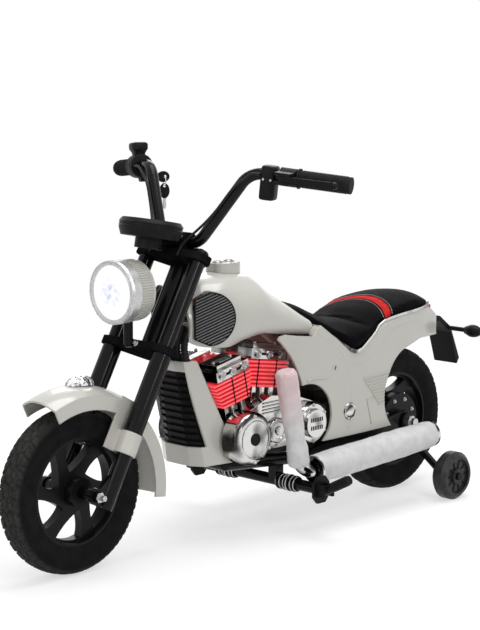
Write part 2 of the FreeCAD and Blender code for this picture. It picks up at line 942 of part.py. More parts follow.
def rear_axle(spot):
    """The axle and the motor's fixed stator on it, with nuts outside the arms."""
    end = z.rear_axle_end
    thin = z.rear_axle_radius
    stator = z.motor_drum_radius - z.motor_drum_wall - z.motor_air_gap
    half = z.motor_drum_width / 2 - z.motor_drum_wall - z.motor_air_gap
    outline = [
        (0, -end), (thin, -end), (thin, -half), (stator, -half),
        (stator, half), (thin, half), (thin, end), (0, end),
    ]
    bar = place(revolved("stator_axle", outline), spot, SWIVEL_TO_SIDE)
    outside = rear_plate_outside() + z.arm_plate_thickness
    caps = nuts("rear_nut", z.rear_nut_width, z.rear_nut_height, outside, spot, thin)
    node("rear_axle", group("rear_axle", [bar] + caps))


def rear_plate_outside():
    return z.rail_spacing / 2 + z.rear_plate_thickness / 2


def stabilisers(spot):
    """A cranked arm and a small wheel on each side of the rear axle."""
    x = spot[0] - z.stabiliser_behind
    wheel_z = z.stabiliser_radius
    half = z.stabiliser_width / 2
    inner = z.stabiliser_side - half - z.seat_gap
    middle = rear_plate_outside() + z.arm_plate_thickness / 2
    low = axle_z - z.arm_plate_drop
    reach = z.arm_plate_width / 2
    outline = [
        (-reach, low), (reach, low), (reach, axle_z),
        (-reach, axle_z, (0, axle_z + reach)),
    ]
    plate = place(padded("arm_plate", outline, z.arm_plate_thickness), (spot[0], middle, 0))
    elbow = (x, middle, low + z.arm_radius)
    knee = (x, inner - z.arm_radius, wheel_z)
    crank = rod("arm_crank", z.arm_radius, elbow, knee)
    boss_start = inner - z.arm_radius * 2
    boss = side_cylinder("arm_boss", z.arm_boss_radius, z.arm_radius * 2, (x, boss_start, wheel_z))
    pin_length = z.stabiliser_width + z.seat_gap * 2 + z.stabiliser_nut_height + z.arm_radius
    pin = side_cylinder(
        "arm_pin", z.stabiliser_axle_radius, pin_length, (x, inner - z.arm_radius, wheel_z)
    )
    stop = side_cylinder(
        "arm_stop", z.stabiliser_nut_radius, z.stabiliser_nut_height,
        (x, z.stabiliser_side + half + z.seat_gap, wheel_z),
    )
    arm = fused("arm_left", [plate, crank, boss, pin, stop])
    hole = side_cylinder("arm_hole", z.rear_axle_radius, z.rear_axle_end, (spot[0], 0, axle_z))
    node("stabiliser_arms", both_sides("stabiliser_arms", cut("arm_drilled", arm, hole)))
    bore = z.stabiliser_axle_radius + z.running_gap
    edge = z.stabiliser_radius - z.stabiliser_tread_round
    flat = half - z.stabiliser_tread_round
    dish = half - z.stabiliser_hub_recess
    hub = z.stabiliser_hub_radius
    disc = z.stabiliser_disc_radius
    outline = [
        (bore, -half), (bore, half), (hub, half), (hub, dish), (disc, dish), (disc, half), (edge, half),
        (z.stabiliser_radius, flat), (z.stabiliser_radius, -flat), (edge, -half),
        (disc, -half), (disc, -dish), (hub, -dish), (hub, -half),
    ]
    for name, side in (("training_wheel_left", 1), ("training_wheel_right", -1)):
        spot = (x, z.stabiliser_side * side, wheel_z)
        node(name, place(revolved(name, outline), spot, SWIVEL_TO_SIDE))


# Front end
def fork_legs():
    """Each leg is a tube with a dropout plate that carries the axle ahead of it."""
    top = z.upper_clamp_up + z.clamp_thickness / 2 + z.leg_top_cap
    leg = cylinder(
        "leg_tube", z.leg_radius, top + z.leg_foot, on_fork(z.leg_lead, leg_y, -z.leg_foot), FORK_TILT
    )
    lead = z.axle_lead
    round_ = z.dropout_radius
    outline = [
        (-z.leg_radius, -z.leg_foot),
        (lead, -round_),
        (lead, round_, (lead + round_, 0)),
        (z.leg_radius, z.dropout_rise),
        (-z.leg_radius, z.dropout_rise),
    ]
    plate = padded("dropout", outline, z.dropout_thickness)
    place(plate, on_fork(z.leg_lead, leg_y, 0), FORK_TILT)
    hole = side_cylinder("dropout_hole", z.front_axle_radius, z.leg_spacing, (front_x, 0, axle_z))
    left = cut("leg_left", fused("leg_with_plate", [leg, plate]), hole)
    node("fork_legs", both_sides("fork_legs", left))


def fork_sleeves():
    low = z.collar_low + z.collar_height
    top = z.lower_clamp_up - z.clamp_thickness / 2
    left = tube(
        "sleeve_left", z.sleeve_radius, z.leg_radius, top - low,
        on_fork(z.leg_lead, leg_y, low), FORK_TILT,
    )
    node("fork_sleeves", both_sides("fork_sleeves", left))


def clamp_plate(name, up, holes):
    """A fork clamp: round ends on the legs and a boss on the stem."""
    lead = z.leg_lead
    boss = z.clamp_boss_radius
    stem = z.stem_boss
    outline = [
        (lead - boss, leg_y),
        (lead + boss, leg_y, (lead, leg_y + boss)),
        (lead + boss, -leg_y),
        (lead - boss, -leg_y, (lead, -leg_y - boss)),
        (-stem, -stem),
        (-stem, stem),
    ]
    body = padded(name, outline, z.clamp_thickness, "XY_Plane")
    cut_through(body, circles(body, "XY_Plane", holes))
    return place(body, on_fork(0, 0, up), FORK_TILT)


def fork_clamps():
    legs = [(z.leg_lead, leg_y, z.leg_radius), (z.leg_lead, -leg_y, z.leg_radius)]
    low = clamp_plate("lower_plate", z.lower_clamp_up, legs)
    stem_top = z.upper_clamp_up + z.clamp_thickness / 2
    stem = cylinder(
        "stem", z.stem_radius, stem_top - z.lower_clamp_up, on_fork(0, 0, z.lower_clamp_up), FORK_TILT
    )
    node("lower_clamp", fused("lower_clamp", [low, stem]))
    top = clamp_plate("upper_plate", z.upper_clamp_up, legs + [(0, 0, z.stem_radius)])
    block = z.bar_radius + z.bar_clamp_wall
    outline = [
        (-block, 0),
        (-block, z.bar_clamp_up - stem_top),
        (block, z.bar_clamp_up - stem_top, (0, z.bar_clamp_up - stem_top + block)),
        (block, 0),
    ]
    pillow = padded("bar_block", outline, z.bar_clamp_half_width * 2)
    place(pillow, on_fork(z.bar_clamp_fore, 0, stem_top), FORK_TILT)
    spot = on_fork(z.bar_clamp_fore, 0, z.bar_clamp_up)
    hole = side_cylinder(
        "bar_hole", z.bar_radius, z.bar_clamp_half_width * 2, (spot[0], -z.bar_clamp_half_width, spot[2])
    )
    node("upper_clamp", cut("upper_clamp", fused("upper_solid", [top, pillow]), hole))


def bar_points(side):
    """The bar's corners from its middle to one end."""
    middle = on_fork(z.bar_clamp_fore, 0, z.bar_clamp_up)
    return [
        Vector(middle[0], side * z.bar_straight_half, middle[2]),
        Vector(middle[0] - z.bar_bend_back, side * z.bar_bend_side, middle[2] + z.bar_bend_rise),
        Vector(middle[0] - z.bar_end_back, side * z.bar_end_side, middle[2] + z.bar_end_rise),
    ]


def bar_way(side):
    """Outward along the grip."""
    points = bar_points(side)
    return (points[2] - points[1]).normalize()


def handlebar():
    left = bar_points(1)
    right = bar_points(-1)
    inset = z.grip_cap + z.seat_gap * 2
    left[2] = left[2] - bar_way(1) * inset
    right[2] = right[2] - bar_way(-1) * inset
    bends = [float(z.bar_high_bend), float(z.bar_low_bend), float(z.bar_low_bend), float(z.bar_high_bend)]
    path = path_with_bends(left[::-1] + right, bends)
    node("handlebar", formed("handlebar", swept_round(path, z.bar_radius)))


def bar_frame(side, inset):
    """A frame on the bar: X outward along it, Z up, from a distance inside its end."""
    out = bar_way(side)
    up = (Z_WAY - out * Z_WAY.dot(out)).normalize()
    spot = bar_points(side)[2] - out * inset
    return Placement(spot, Rotation(out, up.cross(out), up, "ZXY"))


def on_bar(thing, side, inset):
    thing.Placement = bar_frame(side, inset)
    return thing


def grip(name, side, bore):
    """A closed rubber sleeve with a flange at its inner end."""
    length = z.grip_length
    flange = z.grip_flange
    outline = [
        (0, 0), (z.grip_radius, 0), (z.grip_radius, length - flange),
        (z.grip_flange_radius, length - flange), (z.grip_flange_radius, length),
        (bore, length), (bore, z.grip_cap + z.seat_gap), (0, z.grip_cap + z.seat_gap),
    ]
    body = revolved(name, outline)
    out = bar_way(side)
    body.Placement = Placement(bar_points(side)[2], Rotation(Z_WAY, out * -1))
    return node(name, body)


def left_controls():
    """The lever's perch, the switch box under the bar and the horn button."""
    ring = new_ring("perch_ring", z.perch_radius, z.perch_width)
    reach = z.perch_reach
    half = z.perch_width / 2
    tall = z.perch_height
    arm = box("perch_arm", z.perch_width, reach, tall, (-half, -reach, -tall / 2))
    slot_high = z.lever_height + z.lever_slot_gap * 2
    slot_deep = reach - z.perch_radius
    slot = box("perch_slot", z.perch_width, slot_deep, slot_high, (-half, -reach, -slot_high / 2))
    hole = bar_hole("perch_hole", z.perch_width)
    solid = cut("perch_cut", cut("perch_open", fused("perch_solid", [ring, arm]), slot), hole)
    pin = cylinder("lever_pin", z.lever_pin_radius, tall, (0, lever_pivot(), -tall / 2))
    perch = fused("lever_perch", [solid, pin])
    node("lever_perch", on_bar(perch, 1, z.perch_inset + z.perch_width / 2))

    wide = z.switch_width
    deep = z.switch_depth
    tall = z.switch_drop + z.switch_rise
    case = box("switch_case", wide, deep, tall, (-wide / 2, -deep / 2, -z.switch_drop))
    hole = bar_hole("switch_hole", wide)
    sunk = z.horn_length - z.horn_proud
    well = rod(
        "horn_well", z.horn_radius + z.running_gap,
        (0, deep / 2 - sunk - z.button_travel - z.seat_gap, horn_z()), (0, deep / 2 + z.cut_over, horn_z()),
    )
    case = cut("switch_bored", cut("switch_drilled", case, hole), well)
    node("switch_box", on_bar(case, 1, switch_middle()))

    button = revolved("horn_button", [
        (0, 0), (z.horn_radius, 0), (z.horn_radius, z.horn_length - z.horn_proud / 2),
        (z.horn_radius - z.horn_proud / 2, z.horn_length), (0, z.horn_length),
    ])
    frame = bar_frame(1, switch_middle())
    button.Placement = frame * Placement(Vector(0, deep / 2 - sunk, horn_z()), SWIVEL_TO_SIDE)
    node("horn_button", button)


def horn_z():
    return -z.switch_drop / 2 - z.bar_radius / 2


def switch_middle():
    return z.switch_inset + z.switch_width / 2


def lever_pivot():
    """How far ahead of the bar the lever turns, in the bar's frame."""
    return -(z.perch_reach - z.lever_pin_radius * LEVER_EYE_SHARE)


def new_ring(name, radius, width):
    """A short cylinder round the bar, in the bar's frame."""
    return cylinder(name, radius, width, (-width / 2, 0, 0), SWIVEL_TO_FRONT)


def bar_hole(name, width):
    return cylinder(name, z.bar_radius, width, (-width / 2, 0, 0), SWIVEL_TO_FRONT)


def brake_lever():
    """A cranked blade from its pivot to a ball end ahead of the grip."""
    thick = z.lever_thickness
    length = z.lever_length
    back = -lever_pivot()
    bend_x, bend_y = length * LEVER_BEND_SHARES[0], back + thick * LEVER_BEND_SHARES[1]
    eye = z.lever_pin_radius * 2
    outline = [
        (0, -back + eye), (0, -back - eye, (-eye, -back)),
        (bend_x, -bend_y - thick / 2), (length, -back - thick / 2), (length, -back + thick / 2),
        (bend_x, -bend_y + thick / 2),
    ]
    blade = padded("lever_blade", outline, z.lever_height, "XY_Plane")
    ball = doc.addObject("Part::Sphere", "lever_ball")
    bind(ball, "Radius", z.lever_ball_radius)
    place(ball, (length, -back, 0))
    tall = z.perch_height
    hole = cylinder("lever_hole", z.lever_pin_radius + z.running_gap, tall, (0, -back, -tall / 2))
    lever = cut("brake_lever", fused("lever_solid", [blade, ball]), hole)
    node("brake_lever", on_bar(lever, 1, z.perch_inset + z.perch_width / 2))


def throttle_and_key():
    """The throttle's housing with a screen on top and a key lock towards the rider."""
    wide = z.throttle_width
    drum = new_ring("throttle_drum", z.throttle_radius, wide)
    deep = z.screen_depth
    tower = box("throttle_tower", wide, deep, z.throttle_rise, (-wide / 2, -deep / 2, 0))
    start = (0, 0, -z.lock_drop)
    end = (0, -z.throttle_radius - z.lock_length / 2, -z.lock_drop)
    lock = rod("lock_barrel", z.lock_radius, start, end)
    hole = bar_hole("throttle_hole", wide)
    shank = rod("key_way", z.key_shank_radius + z.running_gap, key_mouth(-1), key_mouth(1))
    case = cut("lock_bored", cut("throttle_cut", fused("throttle_solid", [drum, tower, lock]), hole), shank)
    inset = throttle_middle()
    node("throttle_housing", on_bar(case, -1, inset))
    frame = bar_frame(-1, inset)

    head = z.key_head_length
    wide = z.key_head_width
    outline = [
        (-wide / 2, 0), (wide / 2, 0), (wide / 2, head * KEY_SHOULDER_SHARE),
        (-wide / 2, head * KEY_SHOULDER_SHARE, (0, head)),
    ]
    bow = padded("key_bow", outline, z.key_head_thickness)
    hole_z = head * KEY_HOLE_SHARE
    cut_through(bow, circles(bow, "XZ_Plane", [(0, hole_z, z.key_hole_radius)]))
    shank = cylinder("key_shank", z.key_shank_radius, z.key_shank_length, (0, 0, -z.key_shank_length))
    key = fused("ignition_key", [bow, shank])
    mouth = Vector(0, -z.throttle_radius - z.lock_length / 2 - z.seat_gap, -z.lock_drop)
    key_frame = frame * Placement(mouth, Rotation(X_WAY, SQUARE) * Rotation(Z_WAY, SQUARE))
    key.Placement = key_frame
    node("ignition_key", key)
    spare_key(key_frame.multVec(Vector(0, 0, hole_z)), key_frame.Rotation.multVec(Y_WAY))


def throttle_middle():
    return z.throttle_inset + z.throttle_width / 2


def key_mouth(side):
    """A place on the lock's axis before or behind its face."""
    face = z.throttle_radius + z.lock_length / 2
    return (0, -face - side * z.key_shank_length - side * z.seat_gap, -z.lock_drop)


def spare_key(spot, across):
    """A split ring through the key's hole with a second key hanging on it."""
    ring = doc.addObject("Part::Torus", "key_ring")
    bind(ring, "Radius1", z.ring_radius)
    bind(ring, "Radius2", z.ring_wire)
    flat = Vector(across.x, across.y, 0).normalize()
    place(ring, (spot.x, spot.y, spot.z - z.ring_radius), Rotation(Z_WAY, flat.cross(Z_WAY)))
    head = z.key_head_length
    wide = z.key_head_width
    shoulder = head * SPARE_SHOULDER_SHARE
    blade = z.spare_blade_width / 2
    outline = [
        (-wide / 2, -shoulder, (0, 0)), (-wide / 2, -head), (-blade, -head),
        (-blade, -head - z.spare_blade_length), (blade, -head - z.spare_blade_length),
        (blade, -head), (wide / 2, -head), (wide / 2, -shoulder),
    ]
    spare = padded("spare_blade", outline, z.spare_blade_thickness)
    drop = z.key_hole_radius * 2
    cut_through(spare, circles(spare, "XZ_Plane", [(0, -drop, z.key_hole_radius)]))
    low = spot.z - z.ring_radius * 2 + drop
    spare.Placement = Placement(Vector(spot.x, spot.y, low), Rotation(flat, Z_WAY.cross(flat), Z_WAY, "ZXY"))
    node("spare_key", group("spare_key", [ring, spare]))


def gauge_pod():
    """A round dial on a stem, with an arm back to the bar's clamp."""
    radius = z.gauge_radius
    thick = z.gauge_thickness
    lip = z.gauge_lip
    stem = z.gauge_stem_radius
    outline = [
        (0, -thick - z.gauge_stem_height), (stem, -thick - z.gauge_stem_height), (stem, -thick),
        (radius - lip, -thick), (radius, -thick / 2), (radius, 0), (radius - lip, z.gauge_lip_height),
        (radius - lip * 2, z.gauge_lip_height), (radius - lip * 2, 0), (0, 0),
    ]
    bar = on_fork(z.bar_clamp_fore, 0, z.bar_clamp_up)
    spot = (bar[0] + z.gauge_ahead, 0, bar[2] + z.gauge_above)
    dial = place(revolved("gauge_dial", outline), spot, Rotation(Y_WAY, -GAUGE_TILT))
    low = spot[2] - thick - z.gauge_stem_height / 2
    start = (bar[0] + z.bar_radius + z.bar_clamp_wall - z.seat_gap, 0, bar[2])
    arm = rod("gauge_arm", z.gauge_arm_radius, start, (spot[0], 0, low))
    node("gauge_pod", cut("gauge_pod", fused("gauge_solid", [dial, arm]), piece("upper_clamp")))


def headlight_spot():
    bar = on_fork(z.leg_lead, 0, z.upper_clamp_up)
    return (bar[0] + z.headlight_ahead + z.bucket_depth, 0, bar[2] - z.headlight_drop + z.lens_radius / 2)


def headlight():
    """A domed bucket, a bezel ring on its mouth and a domed lens in the ring."""
    spot = headlight_spot()
    lens = z.lens_radius
    ring = lens + z.bezel_width
    deep = z.bezel_depth
    thick = z.lens_thickness
    disc = cylinder("lens_disc", lens, thick + z.lens_dome, (0, 0, -thick))
    bulge = (lens * float(lens) / z.lens_dome + z.lens_dome) / 2
    dome = doc.addObject("Part::Sphere", "lens_dome_ball")
    bind(dome, "Radius", bulge)
    place(dome, (0, 0, z.lens_dome - bulge))
    face = doc.addObject("Part::MultiCommon", "headlight_lens")
    face.Shapes = [disc, dome]
    node("headlight_lens", place(face, spot, SWIVEL_TO_FRONT))
    hold_back = lens - z.bucket_wall
    bezel = revolved("headlight_bezel", [
        (hold_back, -deep), (ring, -deep), (ring, -z.bucket_wall), (ring - z.bucket_wall, z.bucket_wall),
        (lens, z.bucket_wall), (lens, -thick), (hold_back, -thick),
    ])
    node("headlight_bezel", place(bezel, spot, SWIVEL_TO_FRONT))
    drum = ring - z.bucket_wall
    wall = z.bucket_wall
    low = -deep - z.bucket_depth
    back = z.bucket_back_radius
    bucket = revolved("headlight_bucket", [
        (drum, -deep), (drum - wall, -deep), (drum - wall, low), (back - wall, low - z.bucket_dome + wall),
        (0, low - z.bucket_dome + wall), (0, low - z.bucket_dome), (back, low - z.bucket_dome), (drum, low),
    ])
    node("headlight_bucket", place(bucket, spot, SWIVEL_TO_FRONT))
    bracket(spot, drum)


def bracket(spot, drum):
    """A post from the lower clamp's front up to the bucket's underside."""
    front = on_fork(z.leg_lead + z.clamp_boss_radius, 0, z.lower_clamp_up)
    x = spot[0] - z.bezel_depth - z.bucket_depth * HEADLIGHT_POST_SHARE
    foot = rod(
        "headlight_foot", z.headlight_post_radius,
        (front[0] - z.cut_over, 0, front[2]), (x, 0, front[2]),
    )
    post = cylinder("headlight_post", z.headlight_post_radius, spot[2] - front[2], (x, 0, front[2]))
    knuckle = doc.addObject("Part::Sphere", "headlight_knuckle")
    bind(knuckle, "Radius", z.headlight_post_radius)
    place(knuckle, (x, 0, front[2]))
    drum_end = spot[0] - z.bezel_depth - z.bucket_depth
    room = cylinder("headlight_room", drum, z.bucket_depth, (drum_end, 0, spot[2]), SWIVEL_TO_FRONT)
    solid = cut("headlight_post_cut", fused("headlight_arm", [foot, knuckle, post]), room)
    node("headlight_bracket", cut("headlight_bracket", solid, piece("lower_clamp")))


def front_fender():
    """A crowned band round the tyre with collars that clamp the fork legs."""
    radius = z.fender_radius
    half = z.fender_width / 2
    wall = z.fender_wall
    edge = radius - z.fender_crown
    low = edge - z.fender_skirt
    outline = [
        (low, half), (edge, half), (edge, -half, (radius, 0)), (low, -half),
        (low, -half + wall), (edge - wall, -half + wall), (edge - wall, half - wall, (radius - wall, 0)),
        (low, half - wall),
    ]
    band = revolved("fender_band", outline, FENDER_SWEEP)
    spot = (front_x - z.fender_back, 0, axle_z - z.fender_below)
    place(band, spot, Rotation(Y_WAY, -FENDER_START - FENDER_SWEEP).multiply(SWIVEL_TO_SIDE))
    ring = tube(
        "collar", z.collar_radius, z.leg_radius, z.collar_height,
        on_fork(z.leg_lead, leg_y, z.collar_low), FORK_TILT,
    )
    tab_low = on_fork(z.leg_lead, half - wall / 2, z.collar_low + z.collar_height / 2)
    tab = padded("fender_tab", rectangle(
        0, -z.collar_height / 2, z.fender_tab_length, z.fender_tab_rise,
    ), wall)
    place(tab, tab_low, FORK_TILT)
    bridge = padded("fender_bridge", rectangle(
        -z.leg_radius, -z.collar_height / 2, z.leg_radius, z.collar_height / 2,
    ), leg_y - half + wall)
    between = on_fork(z.leg_lead, (leg_y + half - wall) / 2, z.collar_low + z.collar_height / 2)
    place(bridge, between, FORK_TILT)
    leg_room = cylinder(
        "fender_leg_room", z.leg_radius, z.collar_height + z.cut_over * 2,
        on_fork(z.leg_lead, leg_y, z.collar_low - z.cut_over), FORK_TILT,
    )
    bridge = cut("fender_bridge_cut", bridge, leg_room)
    side = [ring, tab, bridge]
    other = [mirrored(thing.Name + "_right", thing) for thing in side]
    node("front_fender", fused("front_fender", [band] + side + other))
    dome = doc.addObject("Part::Ellipsoid", "fender_lamp_dome")
    bind(dome, "Radius1", z.fender_lamp_height)
    bind(dome, "Radius2", z.fender_lamp_length / 2)
    bind(dome, "Radius3", z.fender_lamp_width / 2)
    lamp_x = front_x - z.fender_lamp_back
    drop = z.fender_lamp_back - z.fender_back
    lamp_z = spot[2] + math.sqrt(float(radius) ** 2 - float(drop) ** 2)
    place(dome, (lamp_x, 0, lamp_z))
    under = side_cylinder("fender_lamp_seat", radius, z.fender_width, (spot[0], -half, spot[2]))
    node("fender_lamp", cut("fender_lamp", dome, under))


def control_cables():
    """The brake cable and the throttle lead, each down its own riser to the upper clamp."""
    fore = z.leg_lead + z.clamp_boss_radius + z.cable_radius + z.seat_gap
    cables = []
    for side, name in ((1, "brake_cable"), (-1, "throttle_lead")):
        inset = z.switch_inset + z.switch_width if side > 0 else z.throttle_inset + z.throttle_width
        frame = bar_frame(side, inset)
        forward = -CABLE_AHEAD_SHARE if side > 0 else CABLE_AHEAD_SHARE
        out = frame.multVec(Vector(0, forward * z.bar_radius, 0))
        bend = bar_points(side)[1]
        low = bar_points(side)[0]
        gap = Vector(CABLE_AHEAD_SHARE * z.bar_radius, 0, 0)
        points = [
            out,
            out - bar_way(side) * (out - bend).Length * CABLE_SHARES[0],
            bend + (low - bend) * CABLE_SHARES[1] + gap,
            bend + (low - bend) * CABLE_SHARES[2] + gap,
            Vector(*on_fork(fore, side * z.cable_side, z.upper_clamp_up + z.clamp_thickness)),
            Vector(*on_fork(fore, side * z.cable_side, z.upper_clamp_up - z.clamp_thickness / 2)),
        ]
        cord = path_with_bends(points, loose_bends(points))
        print(name, "bend radii", [round(r, 1) for r in loose_bends(points)], "length", round(cord.Length, 1))
        solid = swept_round(cord, z.cable_radius)
        expected = math.pi * float(z.cable_radius) ** 2 * cord.Length
        print(name, "volume over section times length", round(solid.Volume / expected, 4))
        cables.append(formed(name, solid))
    node("control_cables", group("control_cables", cables))


# Frame
def frame_neck():
    """Head tube, backbone and down tube, welded."""
    low, top = head_tube_span()
    tube_ = cylinder("head_tube", z.head_tube_radius, top - low, on_fork(0, 0, low), FORK_TILT)
    tall = top - low
    start = on_fork(0, 0, low + tall * BACKBONE_UP_SHARE)
    end = spine_points()[0]
    backbone = rod("backbone", z.backbone_radius, start, end)
    down = rod("down_tube", z.down_tube_radius, *down_tube_ends())
    bore = cylinder("head_bore", z.stem_radius + z.running_gap, tall, on_fork(0, 0, low), FORK_TILT)
    spine = [
        rod(f"spine_{index}", z.spine_radius, first, second)
        for index, (first, second) in enumerate(zip(spine_points(), spine_points()[1:]))
    ]
    joints = []
    for index, spot in enumerate(spine_points()[:-1]):
        ball = doc.addObject("Part::Sphere", f"spine_joint_{index}")
        bind(ball, "Radius", z.backbone_radius if index == 0 else z.spine_radius)
        joints.append(place(ball, spot))
    spot = (ahead(z.stay_ahead), -stay_half(), z.stay_z)
    stay = side_cylinder("cover_stay", z.stay_radius, stay_half() * 2, spot)
    solid = fused("neck_solid", [tube_, backbone, down, stay] + spine + joints)
    bored = cut("neck_bored", solid, bore)
    left = cut("neck_trimmed", bored, piece("side_cover_left"))
    node("frame_neck", cut("frame_neck", left, piece("side_cover_right")))


def head_tube_span():
    """Where the head tube starts and ends along the steering axis."""
    low = z.lower_clamp_up + z.clamp_thickness / 2 + z.seat_gap
    top = z.upper_clamp_up - z.clamp_thickness / 2 - z.seat_gap
    return low, top


def down_tube_ends():
    low, top = head_tube_span()
    start = on_fork(0, 0, low + (top - low) * DOWN_TUBE_UP_SHARE)
    return start, (ahead(z.rail_front_ahead), 0, z.rail_front_z)


def stay_half():
    """Half the cover stay's length, which ends inside the covers' wall before it is trimmed."""
    return z.cover_half_width - z.cover_wall / 4


def spine_points():
    """Below the seat, from the backbone's rear end to the tail."""
    start = ahead(z.seat_front_ahead)
    length = z.cover_front_ahead - z.cover_length - z.seat_front_ahead + z.seat_gap * 3
    top = z.tank_base_z + z.spine_radius / 2
    return [
        (start + length * across, 0, top + (z.tank_base_z - z.seat_low_z + z.spine_radius * 2) * rise)
        for across, rise in SPINE_SHARES
    ]


def frame_rails():
    """Two lower rails with a cross tube in front and a plate for the rear axle behind."""
    half = z.rail_spacing / 2
    front = ahead(z.rail_front_ahead)
    rear = ahead(z.rail_rear_ahead)
    cross = side_cylinder("rail_cross", z.rail_radius, z.rail_spacing, (front, -half, z.rail_front_z))
    pieces = [cross]
    neck_end = rod("rail_neck_room", z.down_tube_radius, *down_tube_ends())
    tall = z.rear_plate_height / 2
    outline = [
        (0, -tall, (-tall, 0)), (z.rail_rear_ahead, z.rail_rear_z - axle_z - z.rail_radius),
        (z.rail_rear_ahead, z.rail_rear_z - axle_z + z.rail_radius), (0, tall),
    ]
    for side in (1, -1):
        tag = "left" if side > 0 else "right"
        pieces.append(rod(
            f"rail_{tag}", z.rail_radius,
            (front, side * half, z.rail_front_z), (rear, side * half, z.rail_rear_z),
        ))
        ball = doc.addObject("Part::Sphere", f"rail_ball_{tag}")
        bind(ball, "Radius", z.rail_radius)
        pieces.append(place(ball, (front, side * half, z.rail_front_z)))
        plate = padded(f"rear_plate_{tag}", outline, z.rear_plate_thickness)
        pieces.append(place(plate, (rear_x, side * half, axle_z)))
    tray = (ahead(z.battery_ahead) - z.battery_length, -half, z.rail_rear_z)
    pieces.append(box("battery_tray", z.battery_length, z.rail_spacing, z.tray_thickness, tray))
    for index, spot in enumerate((z.front_mount_ahead, z.rear_mount_ahead)):
        low = z.rail_rear_z + (z.rail_front_z - z.rail_rear_z) * (
            (spot - z.rail_rear_ahead) / (z.rail_front_ahead - z.rail_rear_ahead)
        )
        for side in (1, -1):
            corner = (ahead(spot) - z.mount_length / 2, side * half - z.mount_length / 2, low)
            name = f"engine_mount_{index}_{side + 1}"
            pieces.append(box(name, z.mount_length, z.mount_length, z.crankcase_low_z - low, corner))
    solid = cut("rails_clear", fused("rails_solid", pieces), neck_end)
    wide = z.rail_spacing
    hole = side_cylinder("rails_hole", z.rear_axle_radius, wide * 2, (rear_x, -wide, axle_z))
    node("frame_rails", cut("frame_rails", solid, hole))


def eased(stations):
    """More stations between the given ones, on smooth lines that don't overshoot."""
    places = [station[0] for station in stations]
    columns = list(zip(*[station[1:] for station in stations]))
    slopes = [monotone_slopes(places, column) for column in columns]
    made = []
    for index in range(len(places) - 1):
        gap = places[index + 1] - places[index]
        for step in range(STATION_STEPS):
            part = step / STATION_STEPS
            values = [
                blend(part, column[index], column[index + 1], slope[index] * gap, slope[index + 1] * gap)
                for column, slope in zip(columns, slopes)
            ]
            made.append((places[index] + gap * part, *values))
    return made + [tuple(stations[-1])]


def monotone_slopes(places, values):
    """Slopes at the stations, level where a line turns."""
    steps = [
        (after - before) / (right - left)
        for left, right, before, after in zip(places, places[1:], values, values[1:])
    ]
    slopes = [steps[0]]
    for before, after in zip(steps, steps[1:]):
        slopes.append(2 * before * after / (before + after) if before * after > 0 else 0.0)
    return slopes + [steps[-1]]


def blend(part, start, end, leaving, arriving):
    """A cubic from one value to the next with given slopes."""
    square = part * part
    cube = square * part
    return (
        start * (2 * cube - 3 * square + 1) + leaving * (cube - 2 * square + part)
        + end * (3 * square - 2 * cube) + arriving * (cube - square)
    )


# Tank
def arch(x, base_half, waist_half, shoulder_half, base, shoulder, crown):
    """A closed section across the bike: flat base, bulging sides and a crowned top."""
    low_left = Vector(x, base_half, base)
    low_right = Vector(x, -base_half, base)
    top_left = Vector(x, shoulder_half, shoulder)
    top_right = Vector(x, -shoulder_half, shoulder)
    waist = base + (shoulder - base) * WAIST_SHARE
    return Part.Wire([
        Part.LineSegment(low_right, low_left).toShape(),
        Part.Arc(low_left, Vector(x, waist_half, waist), top_left).toShape(),
        Part.Arc(top_left, Vector(x, 0, crown), top_right).toShape(),
        Part.Arc(top_right, Vector(x, -waist_half, waist), low_right).toShape(),
    ])


def tank_stations(inset, sink):
    """Sections of the tank, drawn in by a wall and let down by a sink."""
    half = z.tank_width / 2
    wires = []
    for across, base_w, waist_w, top_w, base, shoulder, crown in eased(TANK_SHARES):
        wires.append(arch(
            float(ahead(z.tank_front_ahead) - z.tank_length * across),
            float(half * base_w - inset), float(half * waist_w - inset), float(half * top_w - inset),
            float(z.tank_base_z + z.tank_height * base - sink),
            float(z.tank_base_z + z.tank_height * shoulder - inset),
            float(z.tank_base_z + z.tank_height * crown - inset),
        ))
    return wires


def grille_frame():
    """Where the left grille lies on the slope of the tank's front corner."""
    half = z.tank_width / 2
    length = z.tank_length
    nose = ahead(z.tank_front_ahead)
    front = Vector(nose - length * GRILLE_FRONT_SHARES[0], half * GRILLE_FRONT_SHARES[1], 0)
    rear = Vector(nose - length * GRILLE_REAR_SHARES[0], half * GRILLE_REAR_SHARES[1], 0)
    along = (front - rear).normalize()
    middle = (front + rear) / 2
    middle.z = float(z.tank_base_z + z.tank_height * GRILLE_RISE_SHARE)
    return Placement(middle, Rotation(along, along.cross(Z_WAY) * -1, Z_WAY, "ZXY"))


def grille_outline():
    """A D with its round side to the rear."""
    length = z.grille_length / 2
    tall = z.grille_height / 2
    corner, flat = GRILLE_OUTLINE_SHARES
    return [
        (length, -tall * flat), (length, tall * flat), (length * corner, tall),
        (length * corner, -tall, (-length, 0)),
    ]


